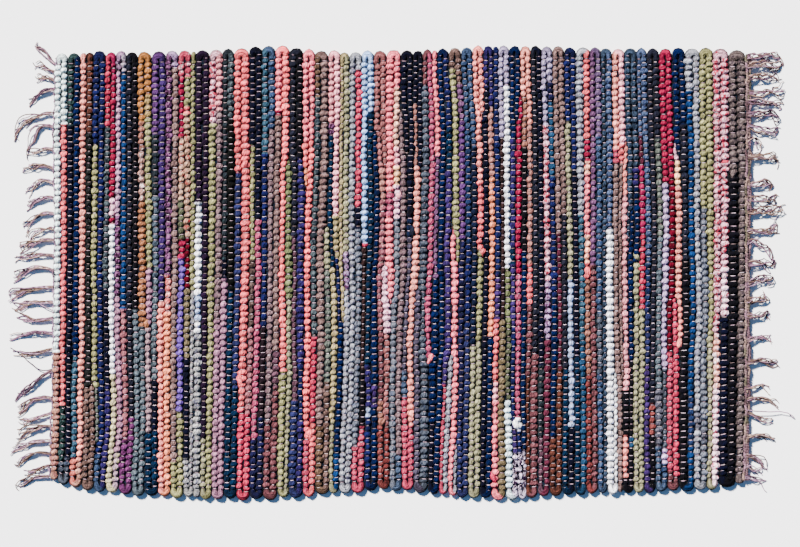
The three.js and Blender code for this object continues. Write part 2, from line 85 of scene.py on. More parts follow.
# One line for each row of rag, from the left end. Before the bar: where the row lies, along@across.
# After it: the rags laid in that row from the far edge, each with the place where it ends.
# Narrow and wide rags are marked, and gone is a stretch where the row has none.
weavingChart = """
0.1@3 0.2@28 -0.1@35 -0.1@40 -0.2@46 0@50 -0.4@54 -0.6@57 | mint 40.3, wide rosyTan 60
0.9@3 1@29 1@35 0.9@38 0.4@43 0.5@46 0.7@49 0.7@53 0.3@57 | mint 9.8, coral 47.4, pine 54.8, slate 60
1.8@3 1.7@29 1.6@37 1.3@41 1.2@45 1.5@48 1.6@52 1@57 | pine 10, ink 54.5, slate 60
2.7@3 2.5@29 2.4@38 2.3@43 2.1@48 2.3@51 2@57 | petrolNavy 41, steelTeal 54.3, dustyCoral 60
3.5@3 3.4@38 3.2@46 3.2@50 2.9@57 | peach 54.8, rosyTan 60
4.4@3 4.2@29 4.4@38 4.2@43 4@50 3.8@57 | brown 11, forest 45, taupeBrown 60
4.6@45 4.8@50 4.5@57 | gone 44.5, taupeBrown 60
5.3@3 4.9@29 5.1@38 5.1@43 5.4@51 | navy 12.6, sage 45, narrow greySage 52.5, gone 60
6.2@3 5.6@29 5.8@38 5.8@46 5.9@51 5.2@57 | navy 54, denim 60
7@3 6.4@29 6.6@36 6.7@43 6.8@48 6.6@52 6@57 | roseRed 10.3, spruce 32, ink 45, indigoNavy 60
7.6@3 7.4@29 7.2@34 7.3@40 7.6@45 7.7@50 7.2@54 6.9@57 | rose 4, crimson 19.8, pinkWhite 22,
    crimson 23.3, white 43.3, pistachio 60
8.3@3 8@29 7.9@36 8.2@41 8.4@46 8.4@50 7.8@54 7.7@57 | darkPrint 2.8, lilacWhite 22, plumPrint 33,
    lilacPink 53.5, lilacMix 60
8.8@3 8.9@29 8.7@33 8.8@37 8.9@41 9.2@46 9.2@50 8.5@57 | greyWhite 2.8, blue 34.5, dustyRose 52, plum 60
9.4@3 9.8@29 9.7@40 9.9@45 9.9@52 9.7@57 | charcoal 49, plum 60
10.2@3 10.4@29 10.4@35 10.6@43 10.8@50 10.7@57 | black 34.7, slateGreen 60
11@3 11.3@29 11.4@36 11.4@41 11.5@47 11.1@57 | ochre 9.5, tan 13, tanWhite 20, wide rust 36.8,
    slateGreen 60
11.9@3 12.3@28 12.3@34 12.1@40 12.2@47 12@57 | ochre 6, ochreSage 9, sage 29, lilacPink 37,
    dustyPeach 51, wide petrol 60
13.2@3 13.1@29 13@38 12.9@47 13.1@57 | purple 11.2, spruceInk 19.5, greySlate 31, slateGreen 44,
    ink 51, petrol 60
14.2@3 13.9@29 13.7@36 13.7@50 13.9@57 | indigo 33.5, coralPeach 60
15@3 14.8@29 14.4@38 14.6@57 | plumPrint 30, coralPrint 35, apricot 60
15.8@3 15.8@29 15.6@57 | lilacPrint 2.3, taupe 55, sage 60
16.7@3 16.6@29 16.4@57 | rosePrint 3.8, narrow crimson 11.7, creamRed 20, oliveSage 25.3, crimson 27.9,
    periwinkle 48.3, sage 60
17.4@3 17.3@29 17.3@57 | rosePrint 3.6, sage 7.6, coral 8.6, creamRed 25, narrow darkCrimson 31.8,
    olive 41, ink 54.5, ash 60
18.1@3 18@29 18.1@57 | narrow sage 32, narrow ash 60
18.8@3 18.9@29 18.7@57 | aubergine 20.3, white 32.7, iceBlue 36, white 37.6, wide ash 60
19.9@3 19.8@29 19.3@57 | aubergine 51.8, khakiSage 60
20.9@3 20.6@29 20.1@57 | pinkPrint 9.8, sage 60
21.7@3 21.4@29 21@57 | peachPink 8, mauveTaupe 36, lilacPink 60
22.4@3 22.2@29 21.8@57 | narrow spruceInk 28, narrow ink 30.5, lilacPink 60
23.2@3 23.4@29 22.5@57 | spruce 9, inkGreen 32, petrol 60
24.2@3 24.2@29 23.5@57 | coral 16.4, indigoSlate 45, petrol 60
25.2@3 25.1@29 24.3@57 | wide coral 48, coralRed 60
26.1@3 26.1@29 25.2@57 | ink 12.6, narrow sage 28, darkOlive 37, dustyRose 48.5, coralRed 60
26.9@3 27@29 26.1@57 | ink 22.5, rosePink 52, inkIndigo 60
27.7@3 27.8@29 26.9@57 | steelTeal 13.8, navy 37, charcoalPlum 49, inkIndigo 60
28.5@3 28.4@29 27.9@57 | denim 10.5, mauveTaupe 49.5, rosyBrown 60
29.6@3 29.2@29 28.8@57 | coralPink 8, crimson 8.8, taupe 40, plumTaupe 45, rosyBrown 60
30.6@8 30.2@30 29.9@57 | salmon 42.8, sage 60
30.9@17 30.6@27 31@43 | gone 14.8, sageGreen 26, wide sageGreen 33, narrow khakiSage 60
31.5@8 31.6@20 31.8@30 31.9@43 31.2@57 | charcoal 25, narrow plumTaupe 46.8, wide indigoSlate 60
32.4@8 32.5@27 32.7@45 32.2@57 | black 14.3, indigoNavy 17, wide indigoNavy 42, narrow navy 49,
    indigoNavy 60
33.4@8 33.5@15 | coralPink 12.3, salmon 15.5, narrow apricot 18.4, gone 60
34.1@8 33.6@22 33.4@30 33.5@43 33.3@57 | coralPink 12, salmon 51.8, roseCoral 60
34.6@4 34.7@10 34.1@28 34.3@42 34@57 | taupeOlive 6.2, spruce 38.3, roseRed 49.5, coral 60
35.7@5 35.1@27 35.3@36 35@43 34.7@55 | wide taupe 50, wide taupeOlive 60
36@26 36.3@38 36@50 | gone 23.5, khakiSage 29, greySage 44.3, taupeBrown 60
36.7@8 36.6@24 37.1@35 36.5@57 | peachPink 9.8, plumPrint 11.2, narrow petrol 29, khaki 49.5,
    narrow khakiSage 60
37.4@8 37.1@26 37.6@32 37.9@42 37.4@52 | palePink 22, khaki 27.8, narrow navy 36, petrolNavy 54, blue 60
38@10 38.1@30 | narrow khaki 36.3, gone 60
38.6@8 38.3@27 38.8@33 38.6@45 38@57 | khakiSage 27, lilacPrint 32, silver 60
39.3@8 39.1@25 39.4@40 38.6@57 | silver 60
40.3@10 40.1@22 40.3@27 40@40 39.6@56 | silver 2.6, coralRed 21, ink 24, steelGrey 52.8, roseCoral 60
41.1@5 41.2@20 41.1@30 40.7@45 40.6@53 | sky 25.8, coralRed 26.3, narrow umber 42.5, black 50.2,
    roseCoral 60
41.8@5 42@22 41.6@32 41.4@40 41.6@46 41.4@55 | sky 8.3, petrol 42, indigoNavy 47.6,
    narrow iceBlue 48.9, navy 60
42.5@13 42.8@20 42.4@31 42.3@45 | gone 11, petrolNavy 35, wide petrolNavy 44.5, indigo 47.5,
    petrolNavy 60
42.5@5 42.9@13 43.4@18 43.3@27 43.1@35 43.3@44 | mauveTan 16, peachTan 20, roseTanPrint 36,
    rosyBrown 47, tan 50, brick 60
43.6@5 43.8@33 44@45 | mauveTan 15.5, gone 28.5, wide pinkWhite 37.7, mauveTan 50, rosyBrick 60
44.4@5 44.3@20 44.4@30 | wide coralPink 19, wide rosePink 22, wide coralPink 33.5, gone 60
45.3@4 45.2@25 44.8@36 44.7@50 | coralPink 5, creamPeach 13, palePink 15.5, cream 18, pinkWhite 22.5,
    steelGrey 60
46@9 46.3@20 46.1@28 45.7@35 45.4@47 45.7@52 | gone 8.3, mauveTaupe 54, steel 60
46.4@4 46.5@12 | ink 14, gone 60
47.3@4 47.1@17 46.8@29 46.5@38 46.2@44 46.3@54 | ink 22.5, slateInk 25, narrow slateMauve 43,
    steel 46.4, roseCoral 60
48@4 47.8@9 48.3@17 48@21 47.8@28 47.3@33 47.1@38 47.3@46 47.2@55 | ink 7.2, narrow peachTan 15.5,
    peach 46.3, coralPeach 50, roseCoral 60
48.6@3 48.5@12 48.6@26 48.2@33 48.1@40 47.9@56 | ink 15.8, gone 32, slateMauve 60
49@7 49.2@12 49.2@27 48.9@36 49@44 48.8@55 | rosyBrown 4.8, wide slate 32, narrow slate 38,
    wide slate 60
49.6@4 50@13 49.9@25 49.5@36 | rosePink 41.7, gone 60
50.3@4 50.7@10 50.4@22 50.5@32 50.3@38 50.1@45 49.8@56 | coralPink 14, narrow mauvePlum 30.3,
    wide petrolNavy 49.5, narrow ink 60
51@3 51.5@13 51.3@20 51.1@28 51.3@36 51.1@48 50.8@56 | petrolNavy 60
51.7@3 52.3@9 52.4@18 52@30 52.1@38 51.8@46 51.5@55 | navy 10.5, petrol 16, indigoViolet 44.6,
    narrow roseCoral 60
52.4@41 52.2@46 51.9@56 | gone 40.8, silver 60
52.9@25 53.1@35 53@47 52.3@57 | gone 24.2, coralPink 60
52.5@1 52.7@4 53.4@9 53.1@12 53.3@20 | taupeBrown 2.5, sage 24, narrow sage 28.4, gone 53,
    narrow silver 60
53.6@2 54.1@7 54@14 54.1@20 54@30 53.9@45 53.4@56 | taupeBrown 4.5, mauvePlum 9.5, purple 25,
    inkIndigo 50, indigoSlate 60
54.4@2 54.9@13 55@28 54.7@42 54.5@56 | denim 12.5, denimNavy 26, navy 37, indigoSlate 60
55.1@2 55.6@13 55.7@22 55.6@32 55.5@42 55.2@56 | denim 13, slateInk 39.5, khakiSage 60
55.8@2 56.4@13 56.6@20 56.5@30 56.2@39 56.4@44 56.1@54 | coralPeach 17.5, coral 26.5, sage 39,
    khakiSage 60
56.6@3 56.8@7 | coralPeach 8.8, gone 60
57.3@3 57.2@12 57.3@22 57@43 56.6@56 | indigoNavy 5, ink 60
57.9@3 58@25 57.7@40 57.4@57 | indigoNavy 7.6, peachTan 17, apricot 38, petrolNavy 60
58.4@3 58.5@13 58.8@22 58.8@33 58.6@45 | navy 30, indigo 36, coral 44.3, palePink 46.8, coralPink 60
59.1@4 59.5@20 59.7@35 59.5@48 | silverLilac 11.7, narrow umber 36, wide taupeKhaki 60
59.9@3 60@20 60.2@33 60.1@44 60.4@52 | silverLilac 4.8, white 29, sageGreen 37, oliveSage 46.7,
    wide paleMint 60
60.7@3 61.1@9 60.8@20 60.8@38 60.6@47 61.1@54 | petrolNavy 11.5, indigoNavy 26.5, petrol 28.5,
    indigoViolet 37, navy 49.3, indigoViolet 53.8, plumStripe 60
61.4@4 61.4@8 | petrolNavy 9.3, gone 60
61.8@10 61.6@20 61.4@26 61.6@33 61.3@46 62@56 | gone 6.2, crimson 29.8, rosePink 49, wide white 50.8,
    navy 53.6, plumStripe 60
62.3@3 62.4@20 62.3@30 62.1@45 | peach 6, tan 13, black 27, petrolNavy 53.6, narrow plumStripe 60
62.9@3 63.1@14 63.2@27 63@35 62.7@48 | peach 10, peachTan 28.5, coral 34, rosyBrown 43.5,
    narrow brown 60
63.4@3 63.8@10 63.8@36 63.4@48 | charcoal 40.3, wide rosyBrown 60
64.2@3 64.5@20 64.3@43 64.5@55 | ink 42, spruceInk 51.5, narrow plumTaupe 60
64.9@3 65.2@12 65.4@28 65.6@36 65.4@48 | silverLilac 10, pinkPrint 30.8, lilacPrint 38.5, maroon 60
65.6@3 66@15 66.3@33 66.4@40 66.2@48 66.4@55 | silverLilac 4.3, inkIndigo 7, petrolBlue 17, navy 33,
    petrolNavy 51.5, brown 60
66.4@3 66.9@18 67.2@34 67.1@47 66.8@56 | taupe 24.5, narrow maroon 42.5, brown 60
67.2@3 67.5@15 67.8@28 67.9@42 67.6@56 | taupe 22, charcoal 42.5, petrol 60
68.2@3 68.2@15 68.6@26 68.5@36 68.7@50 | navy 9.5, khakiSage 30.6, iceBlue 50.2, ink 60
68.7@3 69@20 69.3@35 69.5@50 | navy 16, ink 41, petrol 60
69.6@10 69.8@20 70@33 70.3@52 | wide silver 22, steelTeal 39, petrolBlue 60
70.7@5 70.8@15 70.7@27 70.9@38 71.1@50 | coral 11.8, crimson 14.8, coralCream 16.5, coralPink 24.7,
    coralCream 28.4, coral 30.6, tan 43.2, rosyBrick 60
71.4@5 71.6@25 71.3@37 71.7@50 | mauvePlum 28.5, rosyBrown 60
72@5 72.2@20 72.4@41 72.5@50 | mauve 11.5, denim 35, slate 43, denim 60
72.8@5 73.1@20 73.2@45 | narrow slateHeather 60
73.6@5 73.8@14 73.8@22 73.9@26 73.8@35 73.9@57 | slateBlue 24, wide white 60
74.5@44 74.5@57 | gone 43, narrow white 60
74.6@5 74.6@10 74.9@13 74.6@18 74.6@35 75@44 75@57 | peach 13.2, roseCoral 15, taupe 60
75.3@5 75.4@11 75.2@18 75.2@35 75.5@44 75.5@57 | palePink 12.5, coral 15, narrow taupe 44, gone 60
75.8@12 75.8@16 75.7@20 75.6@30 75.8@38 75.9@44 75.8@48 75.9@54 | gone 12.4, narrow coralPeach 19.2,
    peachPink 45.4, wide black 51.3, coralPeach 57, black 60
76@5 76.3@12 76.5@17 76.6@21 | slateHeather 21, narrow slateHeather 26, gone 60
76.2@23 76.4@30 76.6@37 76.6@46 76.6@54 | gone 21.3, petrolNavy 41.5, narrow black 51.5, petrolBlue 53,
    black 60
76.9@5 77.1@10 77.2@17 77.3@24 77.2@30 77.3@37 77.3@50 | slateHeather 15.5, indigoNavy 18,
    petrolNavy 28.3, khakiSage 60
77.6@5 77.9@12 78.1@20 78.1@28 78.1@35 78.1@40 77.9@50 | narrow slateBlue 11.3, narrow maroon 15.2,
    rose 24.5, roseRed 34.6, khakiSage 60
78.3@2 78.4@10 78.7@15 78.9@22 79@28 78.9@33 78.9@38 78.6@45 78.6@57 | slateBlue 28.5, denimNavy 34,
    indigoSlate 42, indigo 60
79.1@1 79.2@10 79.5@18 79.7@25 79.5@31 79.4@38 79.3@45 79.4@57 | charcoal 47, brick 51.3, black 60
79.7@5 80@11 80.2@16 80.4@22 80.3@30 80.1@37 80.2@49 80.3@57 | charcoal 11.9, greySage 25,
    slateGreen 45, wide taupeGrey 53, steel 60
80.7@2 80.8@8 81@14 81.2@19 81.1@30 81.1@38 81.1@46 81.1@57 | crimson 17.8, lilac 42.5,
    narrow slate 53, lilac 55, denim 60
81.7@2 81.9@7 82.1@15 82.1@25 81.9@32 81.8@38 81.8@46 81.7@57 | crimson 17, darkCrimson 40.5,
    roseCoral 56.2, rosyBrown 60
82.3@34 82.4@38 82.6@43 82.5@50 82.5@57 | gone 33, coralRed 56.8, rosyBrown 60
82.6@14 82.8@17 83@22 82.9@32 83.1@38 | gone 12.4, narrow pinkWhite 14.8, cream 18.3, peach 34,
    coralPeach 39.6, gone 60
82.4@2 82.6@8 82.8@12 | petrolNavy 14, gone 60
83.2@2 83.4@8 83.6@14 83.8@20 83.9@30 83.8@38 83.5@45 83.4@57 | petrolNavy 10, wide charcoal 18,
    charcoal 28, wide black 60
84.2@2 84.4@9 84.5@20 84.6@26 84.8@32 84.7@38 84.4@43 84.5@57 | wide silver 5.5, blue 46, denimNavy 53,
    blue 60
85.2@5 85.3@15 85.3@22 85.6@30 85.5@39 85.4@57 | silver 48, taupeGrey 50.5, silver 60
86.1@6 86.1@17 86.3@25 86.4@32 86.2@40 86.3@57 | sage 21.2, steelGrey 50.7, taupeGrey 52, steelGrey 60
86.8@2 86.8@12 87.1@15 86.9@25 87.2@32 87@40 87.1@47 86.9@57 | sage 28.5, narrow sage 38, khakiSage 45,
    narrow khakiSage 60
87.8@2 87.8@13 88@18 87.9@28 88@34 87.9@44 87.9@52 87.6@57 | pinkPrint 38, peachPrint 45, whitePrint 60
88.9@2 88.9@13 89@20 88.9@28 88.9@34 88.9@42 88.9@57 | pinkPrint 29, whitePrint 35.6, wide ink 60
89.9@3 89.9@12 90@20 90@30 90.2@36 90.2@43 90@48 89.9@57 | greyPlum 16.2, wide black 60
91@3 91.1@18 91.2@30 91.4@38 91.3@57 | wide greyPlum 14, greyPlum 36, wide greyPlum 60
"""

# The cloth's outline, in millimetres from the rug's middle before its fringes were counted in:
# the far and near edges at places along the rug, and the left and right ends at places across it.
outline = {
    "along": [-464, -445, -411, -361, -267, -205, -156, -111, -63,
              -16, 33, 81, 151, 193, 273, 347, 420, 459],
    "far": [290, 292, 294, 295, 295.5, 300, 301.5, 296.5, 294,
            297, 296.5, 301, 302.5, 302, 298.5, 299, 300, 294],
    "near": [275, 284, 289, 296, 300.5, 302, 300, 295.5, 292,
             288, 292, 298, 302, 296, 294, 292, 287, 279],
    "across": [-280, -170, -60, 60, 180, 295],
    "left": [-468, -465, -463, -461.5, -463, -460],
    "right": [457, 459, 459.5, 460, 461, 460],
}
middleShift = np.array([clothLow[0] + 468 * mm, clothHigh[1] - 304.89 * mm])  # to the part's own origin

weave = {
    "warps": 138,  # warp yarns across the rug
    "hem": 9.4 * mm,  # from the outline to the outer warp yarn: the rags turn round there
    "looser": 0.02,  # share by which the warp yarns stand farther apart in the middle
    "wander": 0.35 * mm,  # how far they stray, in three waves
    "sways": [(23, 1.7), (61, -0.9), (213, 5.1)],
    "rag": 8.2 * mm, "narrow": 5.6 * mm, "wide": 10.6 * mm, "gone": 0.6 * mm,  # width of a row
    "least": 1.7 * mm,  # a row narrower than this is hidden, and left out
    "taper": 6 * mm,  # length over which a rag's width changes
    "beadRings": [0, 0.14, 0.38, 0.62, 0.86],  # places of a bead's rings between two warp yarns
    "beyond": 0.7,  # how far the rows go past the outer warp yarns, in spaces between yarns
    "fewest": 5,  # a rag with no more rings than this is left out
    "tucked": 5,  # rings of a rag's end that go on inside the cloth
    "closing": [0.35, 0.55, 0.7, 0.82, 0.92],  # width of its last rings, as shares
    "drop": 3.4 * mm,  # how far its upper side goes down there
    "crest": 8.2 * mm, "valley": 5.3 * mm,  # height of a bead, and of the rag under a warp yarn
    "clear": 0.15 * mm,  # height of its lowest side over the floor
    "sink": 0.5 * mm,  # how much more a soft rag gives way, or less a thin one
    "lift": 0.2 * mm,  # how far a bead stands up by chance, and by how much a soft one is higher
    "drawnIn": 0.85, "plump": 1.14,  # width under a warp yarn, and of a bead, as shares of the row's
    "pinch": 0.06,  # how much more a soft rag is drawn in, or less a stiff one
    "fuller": 0.04,  # share by which a soft rag is wider
    "slimmest": 1.1 * mm,  # least half width of a rag
    "uneven": 0.11,  # share by which the beads differ in width
    "slip": 0.5 * mm,  # how far a bead strays from its row
    "limp": 1.1, "firmer": 0.5,  # depth of the folds, and how much shallower they are in a soft rag
    "seeds": 0.37,  # makes the folds differ from row to row
    "depthOfDye": 1.45,  # the colours are darkened and deepened by this power
    "cast": (0.98, 0.96, 1.08),  # and lean a little to mauve
    "bands": 5,  # the cloth is made in this many pieces
}


def brush(values, length, step):
    # Values smoothed along their last axis, over a length.
    sigma = length / step
    reach = max(1, int(3 * sigma))
    kernel = np.exp(-0.5 * (np.arange(-reach, reach + 1) / sigma) ** 2)
    kernel /= kernel.sum()
    padded = np.pad(values, [(0, 0)] * (values.ndim - 1) + [(reach, reach)], mode="edge")
    return np.apply_along_axis(lambda line: np.convolve(line, kernel, "valid"), -1, padded)


def dyed(code):
    # A colour written as six hex digits, as it is on cloth in strong light.
    part = np.array([int(code[i:i + 2], 16) for i in (0, 2, 4)]) / 255
    light = np.where(part < 0.04045, part / 12.92, ((part + 0.055) / 1.055) ** 2.4)
    return np.clip(light ** weave["depthOfDye"] * weave["cast"], 0, 1)


def readColours(text):
    # A rag with no second colour has a few darker flecks of its own.
    colours = {}
    for entry in text.replace("\n", ",").split(","):
        if entry.strip():
            name, first, *second = entry.split()
            tint = dyed(first)
            other = dyed(second[0]) if second else tint * 0.6
            colours[name] = (tint, other, float(second[1]) if second else 0.12)
    return colours


def readChart(text):
    # The rows of the chart. A line that ends in a comma goes on in the next one.
    rows = []
    for line in text.replace(",\n", ",").strip().splitlines():
        path, rags = line.split("|")
        places = np.array([[float(value) for value in place.split("@")] for place in path.split()])
        laid = []
        for rag in rags.split(","):
            *words, end = rag.split()
            size = words[0] if words[0] in ("narrow", "wide", "gone") else "rag"
            laid.append((size, None if size == "gone" else words[-1], float(end)))
        rows.append({"places": places, "laid": laid})
    return rows


colours = readColours(ragColours)
rows = readChart(weavingChart)

# Each rag has its own body, from thin and crumpled (-1) to soft and full (1): here the pale ones
# are mostly jersey, and the dark ones woven cotton.
bodies = {"thinnest": -0.9, "fullness": 1.6, "curve": 0.3, "differ": 0.5}
for row in rows:
    row["body"] = {}
    for _, name, _ in row["laid"]:
        if name:
            body = bodies["fullness"] * colours[name][0].mean() ** bodies["curve"] + bodies["thinnest"]
            body += rng.uniform(-bodies["differ"], bodies["differ"])
            row["body"][name] = float(np.clip(body, -1, 1))


def ragAt(row, y):
    # The size and the name of a row's rag at a place across the rug.
    across = (chartZero[1] - y) / cm
    for size, name, end in row["laid"]:
        if across < end:
            return size, name
    return row["laid"][-1][:2]


def outlineAt(table, place, column):
    return np.interp(place, np.array(outline[table]) * mm, np.array(outline[column]) * mm)


def edgeAt(side, x):
    # The cloth's long edges, the far one (1) and the near one (-1), at places along the rug.
    return middleShift[1] + side * outlineAt("along", x - middleShift[0], "far" if side > 0 else "near")


def endAt(column, y):
    # The cloth's left and right ends, at places across the rug.
    return middleShift[0] + outlineAt("across", y - middleShift[1], column)


def warpLine(number, x):
    # Where a warp yarn lies across the rug, at a place along it. Number 0 is the nearest one.
    share = number / (weave["warps"] - 1)
    share = share - weave["looser"] / math.tau * np.sin(math.tau * share)
    low, high = edgeAt(-1, x) + weave["hem"], edgeAt(1, x) - weave["hem"]
    sway = sum(np.sin(bends * x + differs * number) for bends, differs in weave["sways"])
    return low + share * (high - low) + weave["wander"] * sway


laying = {
    "step": 2.5 * mm,  # of the grid across the rug
    "beyond": 15 * mm,  # how far the grid goes past the edges
    "pack": 2.5, "ends": 40,  # how hard the rows press on each other, and hold to the cloth's ends
    "smooth": 6 * mm,  # length over which their lines are smoothed
}


def layRows():
    # Where each row lies and how wide it is, on a grid across the rug: a balance between the
    # places in the chart and the rags' own widths, packed side by side from end to end.
    step, pack, ends = laying["step"], laying["pack"], laying["ends"]
    grid = np.arange(edgeAt(-1, 0) - laying["beyond"], edgeAt(1, 0) + laying["beyond"], step)
    left, right = endAt("left", grid), endAt("right", grid)
    laid = [[ragAt(row, y) for y in grid] for row in rows]
    size = np.array([[weave[size] for size, _ in line] for line in laid])
    size = brush(size, weave["taper"] / 2, step)
    gone = np.array([[float(name is None) for _, name in line] for line in laid])
    gone = brush(gone, weave["taper"] / 2, step)
    known = size > weave["least"]
    across = (chartZero[1] - grid) / cm
    target = chartZero[0] + cm * np.array([
        np.interp(across, row["places"][:, 1], row["places"][:, 0]) for row in rows
    ])
    apart = (size[:-1] + size[1:]).T / 2
    this, after = np.arange(len(rows) - 1), np.arange(1, len(rows))
    matrix = np.zeros((len(grid), len(rows), len(rows)))
    matrix[:, range(len(rows)), range(len(rows))] += known.T
    matrix[:, this, this] += pack
    matrix[:, after, after] += pack
    matrix[:, this, after] -= pack
    matrix[:, after, this] -= pack
    wanted = (known * target).T
    wanted[:, :-1] -= pack * apart
    wanted[:, 1:] += pack * apart
    for row, edge, inwards in ((0, left, 1), (-1, right, -1)):
        matrix[:, row, row] += ends
        wanted[:, row] += ends * (edge + inwards * size[row] / 2)
    middle = np.linalg.solve(matrix, wanted[:, :, None])[:, :, 0].T
    middle = brush(middle, laying["smooth"], step)
    seam = (middle[:-1] + size[:-1] / 2 + middle[1:] - size[1:] / 2) / 2
    # Where a rag has ended, its neighbours close over its place
    half = np.diff(np.vstack([left, seam, right]), axis=0) / 2
    seam = seam + gone[1:] * half[1:] - gone[:-1] * half[:-1]
    borders = np.vstack([left, seam, right])
    return grid, (borders[:-1] + borders[1:]) / 2, np.diff(borders, axis=0)


grid, rowMiddle, rowWidth = layRows()
print("rows laid:", len(rows), "width from", rowWidth.min(), "to", rowWidth.max())


def rowAt(i, y):
    return np.interp(y, grid, rowMiddle[i]), np.interp(y, grid, rowWidth[i])


class Tracks:
    # Lines with named values at their points, from which a tree grows yarn or rag.
    def __init__(self):
        self.points, self.links, self.values = [], [], {}

    def add(self, points, **values):
        # A plain number is given to every point of the line.
        start, count = len(self.points), len(points)
        self.points.extend(points)
        self.links.extend((start + k, start + k + 1) for k in range(count - 1))
        for name, given in values.items():
            given = np.asarray(given, dtype=float)
            self.values.setdefault(name, []).extend(given if given.ndim else np.full(count, given))

    def made(self, name):
        mesh = bpy.data.meshes.new(name)
        mesh.from_pydata([tuple(p) for p in self.points], self.links, [])
        for label, given in self.values.items():
            given = np.array(given, dtype=np.float32)
            wide = given.size // len(self.points)
            kinds = {1: ("FLOAT", "value"), 3: ("FLOAT_VECTOR", "vector"), 4: ("FLOAT_COLOR", "color")}
            kind, field = kinds[wide]
            mesh.attributes.new(label, kind, "POINT").data.foreach_set(field, given.ravel())
        piece = bpy.data.objects.new(name, mesh)
        bpy.context.scene.collection.objects.link(piece)
        return piece


def colourRows(names):
    first = np.array([[*colours[name][0], 1] for name in names])
    second = np.array([[*colours[name][1], 1] for name in names])
    share = np.array([colours[name][2] for name in names])
    return first, second, share


def bandOf(i):
    return min(i * weave["bands"] // len(rows), weave["bands"] - 1)


def beadHeights(phases, body):
    # Upper and lower side of the rag, from one warp yarn over it (0) to the next (1).
    crest, valley = weave["crest"], weave["valley"] - weave["sink"] * body
    swell = np.abs(np.sin(math.pi * phases)) ** 0.6
    hollow = np.abs(np.cos(math.pi * phases)) ** 0.9
    return valley + (crest - valley) * swell, (crest - valley) * (1 - hollow) + weave["clear"]


def layRag(tracks, path, sideways, halfWide, halfHigh, names, seed, shade, limp, printed=1.0):
    # A length of rag: its middle line, the way it is wide, its size and its colours, point by point.
    first, second, share = colourRows(names)
    tracks.add(
        path, spine=path, sideways=np.broadcast_to(sideways, path.shape), halfWide=halfWide,
        halfHigh=halfHigh, tint=first, fleck=second, fleckShare=share * printed,
        shade=shade, limp=limp, seed=seed,
    )


def wovenRow(i, tracks):
    # A row as a chain of beads, with a ring of the rag at each place in a bead.
    row = rows[i]
    rings = [
        (i % 2 - 2 + 2 * bead + 2 * phase, phase, bead)
        for bead in range((weave["warps"] + 3) // 2) for phase in weave["beadRings"]
    ]
    first, last = -weave["beyond"], weave["warps"] - 1 + weave["beyond"]
    numbers, phases, beads = np.array([ring for ring in rings if first <= ring[0] <= last]).T
    beads = beads.astype(int)
    x = rowAt(i, np.linspace(edgeAt(-1, 0), edgeAt(1, 0), 5))[0].mean()
    y = warpLine(numbers, x)
    for _ in range(2):
        x, width = rowAt(i, y)
        y = warpLine(numbers, x)
    count = weave["warps"] // 2 + 3
    swollen = 1 + weave["uneven"] * rng.standard_normal(count)[beads]
    slip = weave["slip"] * rng.standard_normal(count)[beads]
    shade = rng.uniform(-1, 1, count)[beads]
    lift = weave["lift"] * rng.standard_normal(count)[beads]
    swell = np.abs(np.sin(math.pi * phases)) ** 0.7
    thin = np.clip(width / weave["rag"], 0.3, 1) ** 0.5
    level = (weave["crest"] + weave["clear"]) / 2
    names = [ragAt(row, place)[1] for place in y]
    body = np.array([row["body"].get(name, 0) for name in names])
    drawnIn = weave["drawnIn"] - weave["pinch"] * body
    plumpness = drawnIn + (weave["plump"] - drawnIn) * swell
    high, low = beadHeights(phases, body)
    upper = level + (high - level) * thin + lift + weave["lift"] * body
    lower = level + (low - level) * thin
    half = 0.5 * width * swollen * plumpness * (1 + weave["fuller"] * body)
    half = np.maximum(half, weave["slimmest"])
    limp = weave["limp"] - weave["firmer"] * body
    shown = np.array([name is not None for name in names]) & (width > weave["least"])
    changes = np.flatnonzero(np.diff(shown.astype(int), prepend=0, append=0))
    for start, stop in changes.reshape(-1, 2):
        if stop - start > weave["fewest"]:
            begin, end = max(start - weave["tucked"], 0), min(stop + weave["tucked"], len(y))
            run = slice(begin, end)
            laid = [names[start]] * (start - begin) + names[start:stop] + [names[stop - 1]] * (end - stop)
            addRun(tracks, x[run] + slip[run], y[run], upper[run], lower[run], half[run],
                   laid, i * weave["seeds"], shade[run], limp[run])


def addRun(tracks, x, y, upper, lower, half, names, *looks):
    # One unbroken rag of a row: its ends grow narrow and go on, lower, inside the cloth.
    close = np.ones(len(y))
    for k, width in enumerate(weave["closing"]):
        close[[k, -1 - k]] = width
    upper = upper - weave["drop"] * (1 - close)
    path = np.column_stack([x, y, (upper + lower) / 2])
    layRag(tracks, path, (1, 0, 0), half * close, (upper - lower) / 2 * close, names, *looks)


turning = {
    "high": 3.1 * mm,  # half the rag's height where it turns
    "level": 3.7 * mm, "rise": (-0.3 * mm, 0.5 * mm),  # its middle above the floor, and what it varies by
    "rings": 7,
    "depth": 9 * mm,  # from the middle of the turn to the edge
    "past": (-0.8 * mm, 1.6 * mm),  # how far a turn may stop short of the edge, or stand out
    "tucked": 5 * mm,  # how far its ends go under the first beads
    "tuckedSize": (0.7, 0.75),  # their width and height, as shares
    "plump": 1.1, "plumper": 0.12,  # width of the turn as a share, and how much wider it is at the edge
    "limp": 1.5, "printed": 0.6,  # its folds, and the share of its print that shows
    "alone": 0.36,  # what it costs to leave a row by itself, set against a difference of colours
}
folded = {
    "from": np.array([14, 9, 6, 3.5, 1.6, 0.4]) * mm,  # places of its rings, in from the edge
    "shape": np.array([0.6, 0.9, 1.06, 1.02, 0.8, 0.4]),  # their sizes, as shares
    "halfWidth": 0.55,  # as a share of the row's width
    "past": (-1.2 * mm, 1.2 * mm),
}


def lastWarp(i, side):
    # Where row i meets the outer warp yarn at a long edge.
    return edgeAt(side, rowMiddle[i].mean()) - side * weave["hem"]


